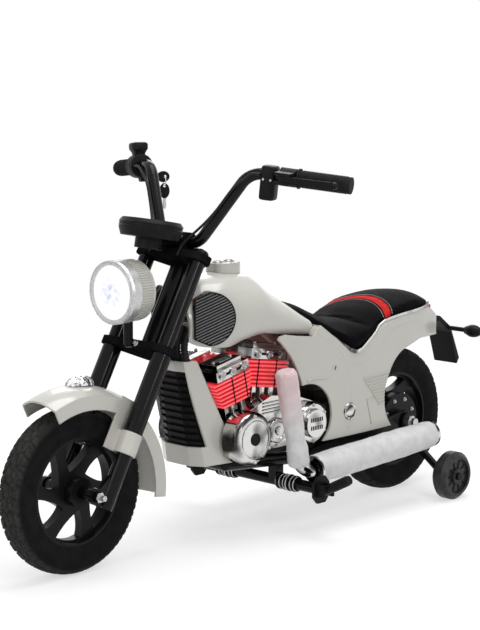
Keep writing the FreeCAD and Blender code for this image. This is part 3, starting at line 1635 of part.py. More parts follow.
def tank():
    """A hollow shell, open below, notched for the head tube and cut for its grilles."""
    shell = Part.makeLoft(tank_stations(0, 0), True, False)
    inside = tank_stations(float(z.tank_wall), float(z.tank_wall + z.cut_over))
    hollow = Part.makeLoft(inside, True, False)
    notch = Part.makeCylinder(
        float(z.head_tube_radius + z.seat_gap), float(z.upper_clamp_up), Vector(*on_fork(0, 0, 0)),
        FORK_TILT.multVec(Z_WAY),
    )
    shell = shell.cut(hollow).cut(notch).cut(seat_room())
    slab = padded("grille_left", grille_outline(), z.grille_thickness)
    slab.Placement = grille_frame()
    room = padded("grille_room", grille_outline(), z.grille_thickness * GRILLE_ROOM_SHARE)
    room.Placement = grille_frame()
    doc.recompute()
    shell = shell.cut(room.Shape)
    shell = shell.cut(room.Shape.mirror(Vector(), Y_WAY))
    node("tank_shell", formed("tank_shell", largest(shell)))
    node("tank_grilles", both_sides("tank_grilles", slab))


def control_panel():
    """A raised pad on the tank's top with two push buttons sunk in it."""
    x = ahead(z.panel_ahead)
    top = z.tank_base_z + z.tank_height * PANEL_HEIGHT_SHARE + z.panel_height
    pad_ = box(
        "panel_pad", z.panel_length, z.panel_width, z.panel_height * 2,
        (x - z.panel_length / 2, -z.panel_width / 2, top - z.panel_height * 2),
    )
    doc.recompute()
    full = Part.makeLoft(tank_stations(0, 0), True, False)
    corners = [edge for edge in pad_.Shape.Edges if abs(edge.tangentAt(edge.FirstParameter).z) > 0]
    shape = pad_.Shape.makeFillet(float(z.panel_round), corners).cut(full)
    sunk = z.button_length - z.button_proud
    outline = [
        (0, 0), (z.button_radius, 0), (z.button_radius, z.button_length - z.button_proud / 3),
        (z.button_radius - z.button_proud / 3, z.button_length), (0, z.button_length),
    ]
    for name, side in (("panel_button_front", 1), ("panel_button_rear", -1)):
        spot = (x + side * z.button_spacing / 2, 0, top - sunk)
        deep = z.button_travel + z.seat_gap
        bottom = Vector(spot[0], 0, spot[2] - deep)
        wide = float(z.button_radius + z.running_gap)
        shape = shape.cut(Part.makeCylinder(wide, float(z.button_length + deep), bottom))
        node(name, place(revolved(name, outline), spot))
    node("control_panel", formed("control_panel", shape))


# Radiator cowl
def cowl_section(top, inset, back):
    """The cowl's plan at its top or its foot."""
    if top:
        front, depth, half = z.cowl_top_ahead, z.cowl_top_depth, z.cowl_top_width / 2
        height = z.cowl_low_z + z.cowl_height
    else:
        front, depth, half = z.cowl_low_ahead, z.cowl_low_depth, z.cowl_low_width / 2
        height = z.cowl_low_z
    shares = COWL_SHARES
    plan = [(front, half * shares[0]), (front - depth * shares[1], half * shares[2]), (front - depth, half)]
    left = [Vector(ahead(x) + back, y - inset, height) for x, y in plan]
    right = [Vector(spot.x, -spot.y, spot.z) for spot in reversed(left)]
    return Part.makePolygon(left + right + [left[0]])


def cowl_block(inset, back):
    """The cowl's block, drawn in from its sides and moved back."""
    inset = float(inset)
    back = -float(back)
    plans = [cowl_section(top, inset, back) for top in (False, True)]
    return Part.makeLoft(plans, True, True)


def cowl_mouth(grow):
    """A prism through the cowl's face between its side panels."""
    grow = float(grow)
    low = float(z.cowl_low_z + z.cowl_low_lip) - grow
    high = float(z.cowl_low_z + z.cowl_height - z.cowl_top_lip) + grow
    low_half = float(z.cowl_low_width / 2) * COWL_SHARES[2] + grow
    high_half = float(z.cowl_top_width / 2) * COWL_SHARES[2] + grow
    corners = [
        Vector(0, -low_half, low), Vector(0, low_half, low),
        Vector(0, high_half, high), Vector(0, -high_half, high),
    ]
    face = Part.Face(Part.makePolygon(corners + corners[:1]))
    return face.extrude(Vector(float(z.cowl_top_ahead), 0, 0))


def radiator_cowl():
    """A white surround, open behind, with a louvred grille in its face."""
    wall = z.cowl_wall
    inside = cowl_block(wall, wall)
    frame = cowl_block(0, 0).cut(inside).cut(cowl_mouth(0))
    node("radiator_cowl", formed("radiator_cowl", largest(frame)))
    deep = wall + z.louvre_depth
    backing = cowl_block(wall, deep - z.louvre_back).cut(cowl_block(wall, deep)).common(cowl_mouth(wall))
    layer = inside.cut(cowl_block(wall, deep)).common(cowl_mouth(wall))
    low = float(z.cowl_low_z + z.cowl_low_lip)
    tall = float(z.cowl_height - z.cowl_low_lip - z.cowl_top_lip)
    wide = float(z.cowl_low_width)
    step = tall / LOUVRES
    slats = []
    for index in range(LOUVRES):
        corner = Vector(0, -wide / 2, low + step * (index + SLAT_SHARES[0]))
        strip = Part.makeBox(float(z.cowl_top_ahead), wide, step * SLAT_SHARES[1], corner)
        slats.append(layer.common(strip))
    start = Vector(ahead(z.cowl_top_ahead), 0, low + tall / 2)
    boss = Part.makeCylinder(float(z.stay_radius), float(z.cowl_low_depth), start, X_WAY * -1)
    boss = boss.common(cowl_block(wall, deep - z.louvre_back))
    tube_room = rod_shape(*down_tube_ends(), z.down_tube_radius + z.seat_gap)
    boss = max(boss.cut(tube_room).Solids, key=lambda solid: solid.CenterOfMass.x)
    grille = backing.fuse(slats + [boss]).removeSplitter().cut(tube_room)
    node("radiator_grille", formed("radiator_grille", largest(grille)))


def rod_shape(start, end, radius):
    way = Vector(*end) - Vector(*start)
    return Part.makeCylinder(float(radius), way.Length, Vector(*start), way)


# Engine
def level_slab(low, high, length, outer):
    """A block across one half of the engine, between two levels of a cylinder."""
    inner = z.engine_split
    corner = Vector(-float(length) / 2, float(inner), float(low))
    return Part.makeBox(float(length), float(outer - inner), float(high - low), corner)


def cylinder_bank(spot, lean, outer, low_length, top_length):
    """One cylinder half up its leaning axis: its foot, its widening fins and its head."""
    foot = z.cylinder_foot
    top = foot + z.fin_spacing * FINS
    core_length = low_length - z.fin_depth * 2
    core_side = outer - z.fin_depth
    base = level_slab(-foot, foot, core_length, core_side)
    fins = []
    for index in range(FINS):
        low = foot + z.fin_spacing * index
        length = low_length + (top_length - low_length) * (index / (FINS - 1))
        fins.append(level_slab(low, low + z.fin_thickness, length, outer))
    bank = level_slab(foot, top, core_length, core_side).fuse(fins).removeSplitter()
    head_length = top_length * HEAD_LENGTH_SHARE
    head_top = top + z.head_height
    inset = z.head_cap_inset
    head = level_slab(top, head_top, head_length, outer + z.fin_thickness / 2)
    cap = level_slab(head_top, head_top + z.head_cap_height, head_length - inset * 2, outer - inset / 2)
    head = head.fuse(cap).removeSplitter()
    frame = Placement(Vector(*spot), Rotation(Y_WAY, lean))
    return [shape.transformGeometry(frame.toMatrix()) for shape in (base, bank, head)]


def engine_block():
    """A crankcase with two leaning cylinders and their heads, one half each side of the frame."""
    front = cylinder_bank(
        (ahead(z.front_cylinder_ahead), 0, z.front_cylinder_z), FRONT_CYLINDER_LEAN,
        z.engine_half_width, z.front_fin_low_length, z.front_fin_top_length,
    )
    rear = cylinder_bank(
        (ahead(z.rear_cylinder_ahead), 0, z.rear_cylinder_z), REAR_CYLINDER_LEAN,
        z.rear_cylinder_side, z.rear_fin_low_length, z.rear_fin_top_length,
    )
    wide = z.engine_half_width - z.engine_split
    outline = [
        (z.crankcase_length * along, z.crankcase_height * up) for along, up in CRANKCASE_SHARES
    ]
    half = padded("crankcase_half", outline, wide)
    place(half, (ahead(z.crankcase_rear_ahead), z.engine_split + wide / 2, z.crankcase_low_z))
    doc.recompute()
    block = half.Shape.fuse([front[0], rear[0]]).removeSplitter()
    node("crankcase", both_sides("crankcase", formed("crankcase_left", block)))
    rear_bank = rear[1].cut(front[1].fuse(front[2]))
    rear_head = rear[2].cut(front[1].fuse(front[2]))
    banks = []
    for name, shape in (("front_bank", front[1]), ("rear_bank", rear_bank)):
        banks.append(formed(name, largest(shape.cut(block))))
    tops = [formed("front_head", front[2]), formed("rear_head", largest(rear_head))]
    right = [mirrored(thing.Name + "_right", thing) for thing in banks]
    node("cylinders", group("cylinders", banks + right))
    right = [mirrored(thing.Name + "_right", thing) for thing in tops]
    node("cylinder_heads", group("cylinder_heads", tops + right))


def engine_covers():
    """A domed round cover in front and a stepped one behind, on each side."""
    radius = z.air_cover_radius
    tall = z.air_cover_height
    shoulder = (radius * AIR_SHOULDER_SHARES[0], tall * AIR_SHOULDER_SHARES[1])
    air = revolved("air_cover", [
        (0, 0), (radius, 0), (radius, tall * AIR_DOME_SHARE),
        (radius * AIR_FACE_SHARE, tall, shoulder), (0, tall),
    ])
    place(air, (ahead(z.air_cover_ahead), z.engine_half_width, z.air_cover_z), SWIVEL_TO_SIDE)
    radius = z.rear_cover_radius
    step = z.rear_cover_height
    cap = z.rear_cap_radius
    rear = revolved("rear_cover", [
        (0, 0), (radius, 0), (radius, step * REAR_COVER_SHARES[1]), (radius * REAR_COVER_SHARES[0], step),
        (cap, step), (cap, step + z.rear_cap_height), (0, step + z.rear_cap_height),
    ])
    place(rear, (ahead(z.rear_cover_ahead), z.engine_half_width, z.rear_cover_z), SWIVEL_TO_SIDE)
    others = [mirrored("air_cover_right", air), mirrored("rear_cover_right", rear)]
    node("engine_covers", group("engine_covers", [air, rear] + others))


def battery():
    """The battery stands on a tray between the rails, with the controller on top of it."""
    rear = ahead(z.battery_ahead) - z.battery_length
    low = z.rail_rear_z + z.tray_thickness
    wide = z.battery_width
    pack = box("battery_pack", z.battery_length, wide, z.battery_height, (rear, -wide / 2, low))
    node("battery_pack", pack)
    top = low + z.battery_height
    case = box(
        "controller_box", z.controller_length, z.controller_width, z.controller_height,
        (rear + (z.battery_length - z.controller_length) / 2, -z.controller_width / 2, top),
    )
    node("controller_box", case)


# Exhaust
def exhaust():
    """A header from the rear cylinder, down and back into a long muffler, on each side."""
    side = z.exhaust_side
    bend_top = Vector(ahead(z.header_top_ahead), side, z.header_top_z)
    bend_low = Vector(ahead(z.header_low_ahead), side, z.muffler_front_z)
    port = Vector(bend_top.x - z.header_port_back, z.header_port_side, z.header_top_z)
    front = Vector(ahead(z.muffler_front_ahead), side, z.muffler_front_z)
    rear = Vector(ahead(z.muffler_rear_ahead), side, z.muffler_rear_z)
    points = [
        port, bend_top, bend_low, front + (rear - front).normalize() * float(z.muffler_radius),
    ]
    path = path_with_bends(points, [float(z.header_top_bend), float(z.header_low_bend)])
    engine = doc.getObject("rear_bank").Shape.fuse(doc.getObject("crankcase_left").Shape)
    header = largest(swept_round(path, z.header_radius).cut(engine))
    barrel = rod_shape(front, rear, z.muffler_radius)
    way = (rear - front).normalize()
    tip = rod_shape(rear - way, rear + way * float(z.muffler_tip_length), z.muffler_tip_radius)
    bore = rod_shape(
        rear - way * float(z.muffler_radius), rear + way * float(z.muffler_radius),
        z.muffler_tip_radius - z.bucket_wall,
    )
    pipe = header.fuse([barrel, tip]).cut(bore).removeSplitter()
    node("exhaust_pipes", both_sides("exhaust_pipes", formed("exhaust_left", pipe)))
    foam = z.muffler_radius + z.seat_gap + z.foam_thickness
    start = front + way * float(z.foam_inset)
    end = rear - way * float(z.foam_inset / 2)
    wrap = rod_shape(start, end, foam).cut(rod_shape(start, end, z.muffler_radius + z.seat_gap))
    slope = (bend_top.x - bend_low.x) / (bend_top.z - bend_low.z)
    low, top = [
        Vector(bend_low.x + slope * (level - bend_low.z), side, level)
        for level in (z.header_foam_low_z, z.header_foam_top_z)
    ]
    bare = z.header_radius + z.seat_gap
    sleeve = rod_shape(low, top, bare + z.header_foam_thickness)
    sleeve = largest(sleeve.cut(swept_round(path, bare)).cut(rod_shape(front, rear, foam + z.seat_gap)))
    left = [formed("muffler_foam", wrap), formed("header_foam", sleeve)]
    right = [mirrored(thing.Name + "_right", thing) for thing in left]
    node("foam_sleeves", group("foam_sleeves", left + right))


# Bodywork
def cover_spot(share):
    """A place on the side cover's outline, seen from the left."""
    along, up = share
    return Vector(
        ahead(z.cover_front_ahead) - z.cover_length * along, 0, z.cover_low_z + z.cover_height * up
    )


def cover_outline():
    """The side cover's outline: a horn in front, an arch behind the engine, a heel and the tail."""
    edges = []
    top = [cover_spot(share) for share in COVER_SHOULDER_SHARES]
    for share in cover_stations():
        x, _, under, _, _ = seat_station(share)
        top.append(Vector(x, 0, under - z.seat_gap))
    top += [cover_spot(share) for share in COVER_TAIL_SHARES]
    for first, second in zip(top, top[1:]):
        edges.append(Part.LineSegment(first, second).toShape())
    middle, end = [cover_spot(share) for share in COVER_REAR_BEND_SHARES]
    edges.append(Part.Arc(top[-1], middle, end).toShape())
    heel, toe = [cover_spot(share) for share in COVER_HEEL_SHARES]
    edges.append(Part.Arc(end, heel, toe).toShape())
    sill = cover_spot(COVER_SILL_SHARE)
    edges.append(Part.LineSegment(toe, sill).toShape())
    arch_middle, arch_end = [cover_spot(share) for share in COVER_ARCH_SHARES]
    edges.append(Part.Arc(sill, arch_middle, arch_end).toShape())
    edges.append(Part.Arc(arch_end, cover_spot(COVER_HORN_SHARE), top[0]).toShape())
    return Part.Wire(edges)


def cover_plan(inset):
    """How far the cover stands out along its length."""
    front = ahead(z.cover_front_ahead)
    turn = ahead(z.cover_tail_start_ahead)
    rear = front - z.cover_length
    wide = z.cover_half_width - inset
    nose = z.cover_nose_half_width - inset
    tail = z.cover_tail_half_width - inset
    return [
        Vector(front, nose, 0), Vector((front + turn) / 2, wide, 0), Vector(turn, wide, 0),
        Vector(rear, tail, 0),
    ]


def side_covers():
    """A bowed panel each side that runs from below the tank to the tail."""
    deep = float(z.cover_half_width + z.cut_over)
    slab = Part.Face(cover_outline()).extrude(Vector(0, deep, 0))
    ribbon = []
    for inset in (0, z.cover_wall):
        spots = cover_plan(inset)
        curve = Part.BSplineCurve()
        curve.interpolate(spots)
        ribbon.append(curve.toShape())
    closers = []
    for end in (0, -1):
        spots = [edge.Vertexes[end].Point for edge in ribbon]
        closers.append(Part.LineSegment(*spots).toShape())
    plan = Part.Wire(Part.__sortEdges__(ribbon + closers))
    strip = Part.Face(plan)
    strip = strip.extrude(Vector(0, 0, float(z.cover_low_z + z.cover_height * 2)))
    panel = slab.common(strip).fuse(cover_deck(ribbon[0])).removeSplitter()
    left = formed("side_cover_left", panel)
    node("side_cover_left", left)
    node("side_cover_right", mirrored("side_cover_right", left))


def cover_stations():
    """The seat stations that the covers run along."""
    return eased(SEAT_SHARES)[STATION_STEPS:1 - STATION_STEPS]


def cover_deck(outer):
    """A shelf from the panel's top edge in to the seat's lower edge."""
    walls = []
    thick = float(z.cover_wall)
    for share in cover_stations():
        x, half, under, _, _ = [float(value) for value in seat_station(share)]
        across = Part.LineSegment(Vector(x, 0, 0), Vector(x, float(z.seat_width), 0)).toShape()
        wide = outer.distToShape(across)[1][0][0].y - thick / 2
        inner = half - float(z.seat_draw_in)
        top = under - float(z.seat_gap)
        walls.append(Part.makePolygon([
            Vector(x, wide, top), Vector(x, inner, top), Vector(x, inner, top - thick),
            Vector(x, wide, top - thick), Vector(x, wide, top),
        ]))
    return Part.makeLoft(walls, True, True)


def seat_station(share):
    """A seat section's place, half width, underside, edge and crown, in millimetres."""
    along, wide, under, edge, crown = share
    low = z.seat_low_z
    return (
        ahead(z.seat_front_ahead) - z.seat_length * along,
        z.seat_width / 2 * wide,
        low + z.seat_height * under,
        low + z.seat_height * edge,
        low + z.seat_height * crown,
    )


def seat_room():
    """The space that the seat and its pan take, with a small gap round them."""
    gap = float(z.seat_gap)
    walls = []
    for share in eased(SEAT_SHARES):
        x, half, under, edge, crown = [float(value) for value in seat_station(share)]
        side = half + (edge - under) * SEAT_ROLL_SHARE + float(z.trim_thickness) + gap
        low = under - float(z.pan_thickness) - gap
        high = crown + float(z.seat_height)
        walls.append(Part.makePolygon([
            Vector(x + gap, side, low), Vector(x + gap, side, high), Vector(x + gap, -side, high),
            Vector(x + gap, -side, low), Vector(x + gap, side, low),
        ]))
    return Part.makeLoft(walls, True, True)


def seat_cushion():
    """A saddle with a crowned top and rolled sides that draw in below."""
    walls = []
    for share in eased(SEAT_SHARES):
        x, half, under, edge, crown = [float(value) for value in seat_station(share)]
        foot = half - float(z.seat_draw_in)
        left = Vector(x, foot, under)
        right = Vector(x, -foot, under)
        left_top = Vector(x, half, edge)
        right_top = Vector(x, -half, edge)
        middle = (under + edge) / 2
        side = (foot + half) / 2 + (edge - under) * SEAT_ROLL_SHARE
        walls.append(Part.Wire([
            Part.LineSegment(right, left).toShape(),
            Part.Arc(left, Vector(x, side, middle), left_top).toShape(),
            Part.Arc(left_top, Vector(x, 0, crown), right_top).toShape(),
            Part.Arc(right_top, Vector(x, -side, middle), right).toShape(),
        ]))
    node("seat_cushion", formed("seat_cushion", Part.makeLoft(walls, True, False)))


def seat_base():
    """A pan below the cushion and a bright strip along its lower edge."""
    cushion = piece("seat_cushion").Shape
    pan = []
    trims = []
    for share in eased(SEAT_SHARES):
        x, half, under, edge, _ = [float(value) for value in seat_station(share)]
        small = half - float(z.seat_draw_in + z.pan_inset)
        base = under - float(z.pan_thickness)
        pan.append(Part.makePolygon([
            Vector(x, small, base), Vector(x, small, under), Vector(x, -small, under),
            Vector(x, -small, base), Vector(x, small, base),
        ]))
        low = under + float(z.seat_gap)
        high = low + float(z.trim_height)
        inner = half - float(z.seat_draw_in)
        outer = half + (edge - under) * SEAT_ROLL_SHARE + float(z.trim_thickness)
        trims.append(Part.makePolygon([
            Vector(x, inner, low), Vector(x, outer, low), Vector(x, outer, high), Vector(x, inner, high),
            Vector(x, inner, low),
        ]))
    pan = largest(Part.makeLoft(pan, True, True).cut(cushion))
    node("seat_pan", formed("seat_pan", pan))
    trim = formed("trim_left", largest(Part.makeLoft(trims, True, True).cut(cushion)))
    node("seat_trim", both_sides("seat_trim", trim))


def tail():
    """A black plate that closes the tail and carries the number-plate arm, lamp and signals."""
    rear = ahead(z.cover_front_ahead) - z.cover_length
    low = z.cover_low_z + z.cover_height * COVER_TAIL_SHARES[2][1]
    top = z.cover_low_z + z.cover_height * COVER_TAIL_SHARES[1][1]
    half = z.cover_tail_half_width - z.cover_wall
    thick = z.tail_plate_thickness
    closing = box("tail_plate", thick, half * 2, top - low, (rear - thick, -half, low))
    end = rear_x - z.tail_reach
    reach = rear - end
    drop = top - z.plate_low_z
    upper = [(rear - reach * along, z.plate_low_z + drop * up) for along, up in PLATE_ARM_SHARES]
    lower = [(x, up - z.plate_height * PLATE_LIP_SHARE) for x, up in upper[::-1]]
    lower[0] = (end + z.plate_arm_thickness, z.plate_low_z)
    arm = padded("plate_arm", upper + lower, z.plate_arm_width)
    node("plate_bracket", fused("plate_bracket", [closing, arm]))
    lamp = box(
        "tail_light", z.tail_light_depth, z.tail_light_width, z.tail_light_height,
        (rear - z.tail_light_depth, -z.tail_light_width / 2, top),
    )
    node("tail_light", lamp)
    x = rear_x - z.signal_back
    start = z.plate_arm_width / 2
    spot = (x, start, z.signal_z)
    stalk = side_cylinder("signal_stalk", z.signal_stalk_radius, z.signal_side - start, spot)
    radius = z.signal_radius
    length = z.signal_length
    bulge = (radius * SIGNAL_BULGE_SHARES[0], length * SIGNAL_BULGE_SHARES[1])
    pod = revolved("signal_pod", [
        (0, 0), (radius * SIGNAL_FOOT_SHARE, 0), (radius, length * SIGNAL_WAIST_SHARE),
        (radius * SIGNAL_TIP_SHARE, length, bulge), (0, length),
    ])
    place(pod, (x, z.signal_side, z.signal_z), SWIVEL_TO_SIDE)
    left = fused("signal_left", [stalk, pod])
    node("turn_signals", both_sides("turn_signals", left))


# Footrests
def footrests():
    """A cross bar below the rails with ringed sleeves, a bracket on each end and a folding peg."""
    x = ahead(z.footrest_ahead)
    half = z.footrest_half
    height = z.footrest_z
    bar = side_cylinder("footrest_rod", z.footrest_radius, half * 2, (x, -half, height))
    pieces = [bar]
    for side in (1, -1):
        tag = "left" if side > 0 else "right"
        start = z.ring_sleeve_start if side > 0 else -z.ring_sleeve_start - z.ring_sleeve_length
        spot = (x, start, height)
        pieces.append(side_cylinder(f"sleeve_{tag}_bar", z.ring_sleeve_radius, z.ring_sleeve_length, spot))
        for index, share in enumerate(RING_STEP_SHARES):
            spot = (x, start + z.ring_sleeve_length * share - z.ring_rib_width / 2, height)
            pieces.append(side_cylinder(
                f"rib_{tag}_{index}", z.ring_sleeve_radius + z.ring_rib, z.ring_rib_width, spot
            ))
        rail_z = z.rail_front_z + (z.rail_rear_z - z.rail_front_z) * (
            (z.rail_front_ahead - z.footrest_ahead) / (z.rail_front_ahead - z.rail_rear_ahead)
        )
        saddle = box(
            f"saddle_{tag}", z.saddle_length, z.saddle_width, rail_z - height,
            (x - z.saddle_length / 2, side * z.rail_spacing / 2 - z.saddle_width / 2, height),
        )
        rail = rod(
            f"saddle_room_{tag}", z.rail_radius,
            (ahead(z.rail_front_ahead), side * z.rail_spacing / 2, z.rail_front_z),
            (ahead(z.rail_rear_ahead), side * z.rail_spacing / 2, z.rail_rear_z),
        )
        pieces.append(cut(f"saddle_{tag}_cut", saddle, rail))
    node("footrest_bar", fused("footrest_bar", pieces))

    long_ = z.bracket_length / 2
    tall = z.bracket_height / 2
    short = long_ * BRACKET_CORNER_SHARE
    low = tall * BRACKET_CORNER_SHARE
    outline = [
        (-long_, -low), (-short, -tall), (short, -tall), (long_, -low),
        (long_, low), (short, tall), (-short, tall), (-long_, low),
    ]
    thick = z.bracket_thickness
    plate = padded("bracket_plate", outline, thick)
    place(plate, (x, half + thick / 2, height))
    pivot = peg_pivot()
    ears = []
    gap = z.peg_boss_length / 2 + z.peg_side_gap
    for index, side in enumerate((1, -1)):
        start = gap if side > 0 else -gap - z.ear_thickness
        ears.append(box(
            f"ear_{index}", z.ear_thickness, z.ear_reach, z.ear_height,
            (x + start, half + thick, height - z.ear_height / 2),
        ))
    pin_length = (gap + z.ear_thickness) * 2
    spot = (x - pin_length / 2, pivot, height)
    pin = cylinder("peg_pin", z.peg_pin_radius, pin_length, spot, SWIVEL_TO_FRONT)
    node("peg_brackets", both_sides("peg_brackets", fused("bracket_left", [plate, pin] + ears)))

    spot = (x - z.peg_boss_length / 2, pivot, height)
    boss = cylinder("peg_boss", z.peg_boss_radius, z.peg_boss_length, spot, SWIVEL_TO_FRONT)
    rise = math.radians(PEG_RISE)
    tip = (x, pivot + z.peg_length * math.cos(rise), height + z.peg_length * math.sin(rise))
    shaft = rod("peg_shaft", z.peg_radius, (x, pivot, height), tip)
    hole = cylinder("peg_hole", z.peg_pin_radius + z.running_gap, z.peg_boss_length, spot, SWIVEL_TO_FRONT)
    left = cut("peg_left", fused("peg_solid", [boss, shaft]), hole)
    node("peg_left", left)
    node("peg_right", mirrored("peg_right", left))


def peg_pivot():
    """How far out the pegs' hinge pins lie."""
    return z.footrest_half + z.bracket_thickness + z.peg_boss_radius + z.seat_gap * 2


def save():
    """Check every object and every sub-part, then write the sub-parts."""
    doc.recompute()
    failed = [t.Name for t in doc.Objects if "Invalid" in t.State or "Error" in t.State]
    for thing in NODES:
        shape = thing.Shape
        if shape.isNull() or not shape.isValid() or not shape.Solids:
            failed.append(thing.Label + " has no sound solid")
    if failed:
        raise RuntimeError("; ".join(failed))
    for thing in NODES:
        thing.Shape.exportStep(f"parts/{thing.Label}.step")
    print(len(NODES), "sub-parts")


def main():
    front_spot = (front_x, 0, axle_z)
    rear_spot = (rear_x, 0, axle_z)
    front_wheel(front_spot)
    rear_wheel(rear_spot)
    front_axle(front_spot)
    rear_axle(rear_spot)
    stabilisers(rear_spot)
    fork_legs()
    fork_sleeves()
    fork_clamps()
    handlebar()
    grip("left_grip", 1, z.bar_radius)
    grip("throttle_grip", -1, z.bar_radius + z.running_gap)
    left_controls()
    brake_lever()
    throttle_and_key()
    gauge_pod()
    headlight()
    front_fender()
    control_cables()
    seat_cushion()
    side_covers()
    frame_neck()
    frame_rails()
    tank()
    control_panel()
    radiator_cowl()
    engine_block()
    engine_covers()
    battery()
    exhaust()
    seat_base()
    tail()
    footrests()
    save()


main()
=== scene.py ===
import json
import math

import bmesh
import bpy
from mathutils import Matrix, Vector, noise
from mathutils.bvhtree import BVHTree


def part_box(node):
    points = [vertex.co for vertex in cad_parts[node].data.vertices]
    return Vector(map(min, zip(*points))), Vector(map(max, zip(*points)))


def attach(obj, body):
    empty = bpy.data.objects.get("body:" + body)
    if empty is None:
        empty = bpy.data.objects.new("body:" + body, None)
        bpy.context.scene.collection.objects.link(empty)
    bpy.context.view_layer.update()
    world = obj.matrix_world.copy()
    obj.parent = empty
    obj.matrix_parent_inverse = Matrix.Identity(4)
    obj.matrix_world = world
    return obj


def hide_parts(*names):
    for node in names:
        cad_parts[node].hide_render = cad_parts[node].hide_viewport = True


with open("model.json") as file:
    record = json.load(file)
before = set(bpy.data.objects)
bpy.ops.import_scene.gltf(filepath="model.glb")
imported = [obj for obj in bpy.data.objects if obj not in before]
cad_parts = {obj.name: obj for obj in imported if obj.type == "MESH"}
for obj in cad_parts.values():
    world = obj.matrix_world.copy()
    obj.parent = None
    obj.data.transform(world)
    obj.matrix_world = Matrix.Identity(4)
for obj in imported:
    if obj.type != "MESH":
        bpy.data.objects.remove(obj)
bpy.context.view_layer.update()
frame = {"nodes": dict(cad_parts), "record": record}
NODES = frame["nodes"]
MM = 0.001
TINY = 1e-6
UP, DOWN, AHEAD = Vector((0, 0, 1)), Vector((0, 0, -1)), Vector((1, 0, 0))
SIDES = (("left", 1), ("right", -1))
# How far out, in millimetres, the lines start that look for a surface
OUTSIDE = 300.0


def mm(*values):
    """A point given in millimetres, as a vector in metres."""
    return Vector(values) * MM


def beside(x, side, z):
    """A point well out at one side of the bike."""
    return mm(x, side * OUTSIDE, z)


def round_steps(count, shift=0.0):
    """Even angles round a circle."""
    return [2 * math.pi * (i + shift) / count for i in range(count)]


# The camera, the lamps as place, size and power, and the floor
CAMERA_AT = Vector((2.63165, 2.50578, 0.97720))
CAMERA_TO = Vector((0.03448, 0.0, 0.42174))
CAMERA_LENS = 107.6
LAMPS = {
    "key_light": ((1.2, 3.4, 3.6), (2.2, 2.2), 26),
    "strip_light": ((0.8, 3.3, 1.7), (0.22, 0.9), 12),
    "front_light": ((4.2, 0.2, 2.0), (1.6, 1.6), 26),
    "top_light": ((-0.4, 0.2, 3.9), (2.6, 2.6), 84),
    "far_light": ((-2.6, -2.8, 2.6), (2.2, 2.2), 40),
}
LAMPS_AIM = mm(0, 0, 330)
SKY_LIGHT = 0.33
WHITE = (1, 1, 1, 1)
FLOOR_HALF = 14.0
FLOOR_FADE = (1.1, 2.6)
FLOOR_PLAIN = (0.8, 0.8, 0.8, 1)
FLOOR_SHOWN = (0.5, 0.5, 0.5, 1)
FLOOR_LIFT = (0.6, 0.6, 0.6, 1)

# The steering line, the wheels, the headlight and the bar, as in the solids
RAKE = math.radians(29.3)
FORK_FOOT = mm(418.41, 0, 121.756)
FORK_AHEAD = Vector((math.cos(RAKE), 0, math.sin(RAKE)))
FORK_ALONG = Vector((-math.sin(RAKE), 0, math.cos(RAKE)))
WHEEL_X = {"front": 472.3, "rear": -416.7}
AXLE_Z = 152.0
TYRE_SECTION = ((100.0, 23.0), (104.3, 24.0), (114.0, 27.6), (126.0, 29.0), (136.0, 28.0), (144.0, 25.0),
                (148.6, 19.0), (151.0, 11.0), (152.0, 0.0))
LAMP_Z = 499.4
LENS_AT = mm(367, 0, LAMP_Z)
LENS_R = 50.0
BAR_END = {1: mm(64.08, 307, 692.09), -1: mm(64.08, -307, 692.09)}
BAR_OUT = {1: Vector((-0.41567, 0.90363, -0.10327)), -1: Vector((-0.41567, -0.90363, -0.10327))}


def on_fork(fore, side, up):
    """A point by its place along the steering line, in millimetres."""
    return FORK_FOOT + (FORK_AHEAD * fore + FORK_ALONG * up) * MM + mm(0, side, 0)


def bar_place(side, inset):
    """The frame of a bar end: x outward along the bar, z upward."""
    out = BAR_OUT[side].normalized()
    up = (UP - out * out.z).normalized()
    turn = Matrix((out, up.cross(out), up)).transposed().to_4x4()
    return Matrix.Translation(BAR_END[side] - out * inset * MM) @ turn


# Materials
def fill(tree, socket, value):
    """Sets a plain value on a socket, and links another node's socket to it."""
    if isinstance(value, bpy.types.NodeSocket):
        tree.links.new(value, socket)
    else:
        socket.default_value = value


def add_node(tree, kind, inputs=None, **settings):
    """Adds a node with its settings, and fills its inputs."""
    node = tree.nodes.new(kind)
    for key, value in settings.items():
        setattr(node, key, value)
    for key, value in (inputs or {}).items():
        fill(tree, node.inputs[key], value)
    return node


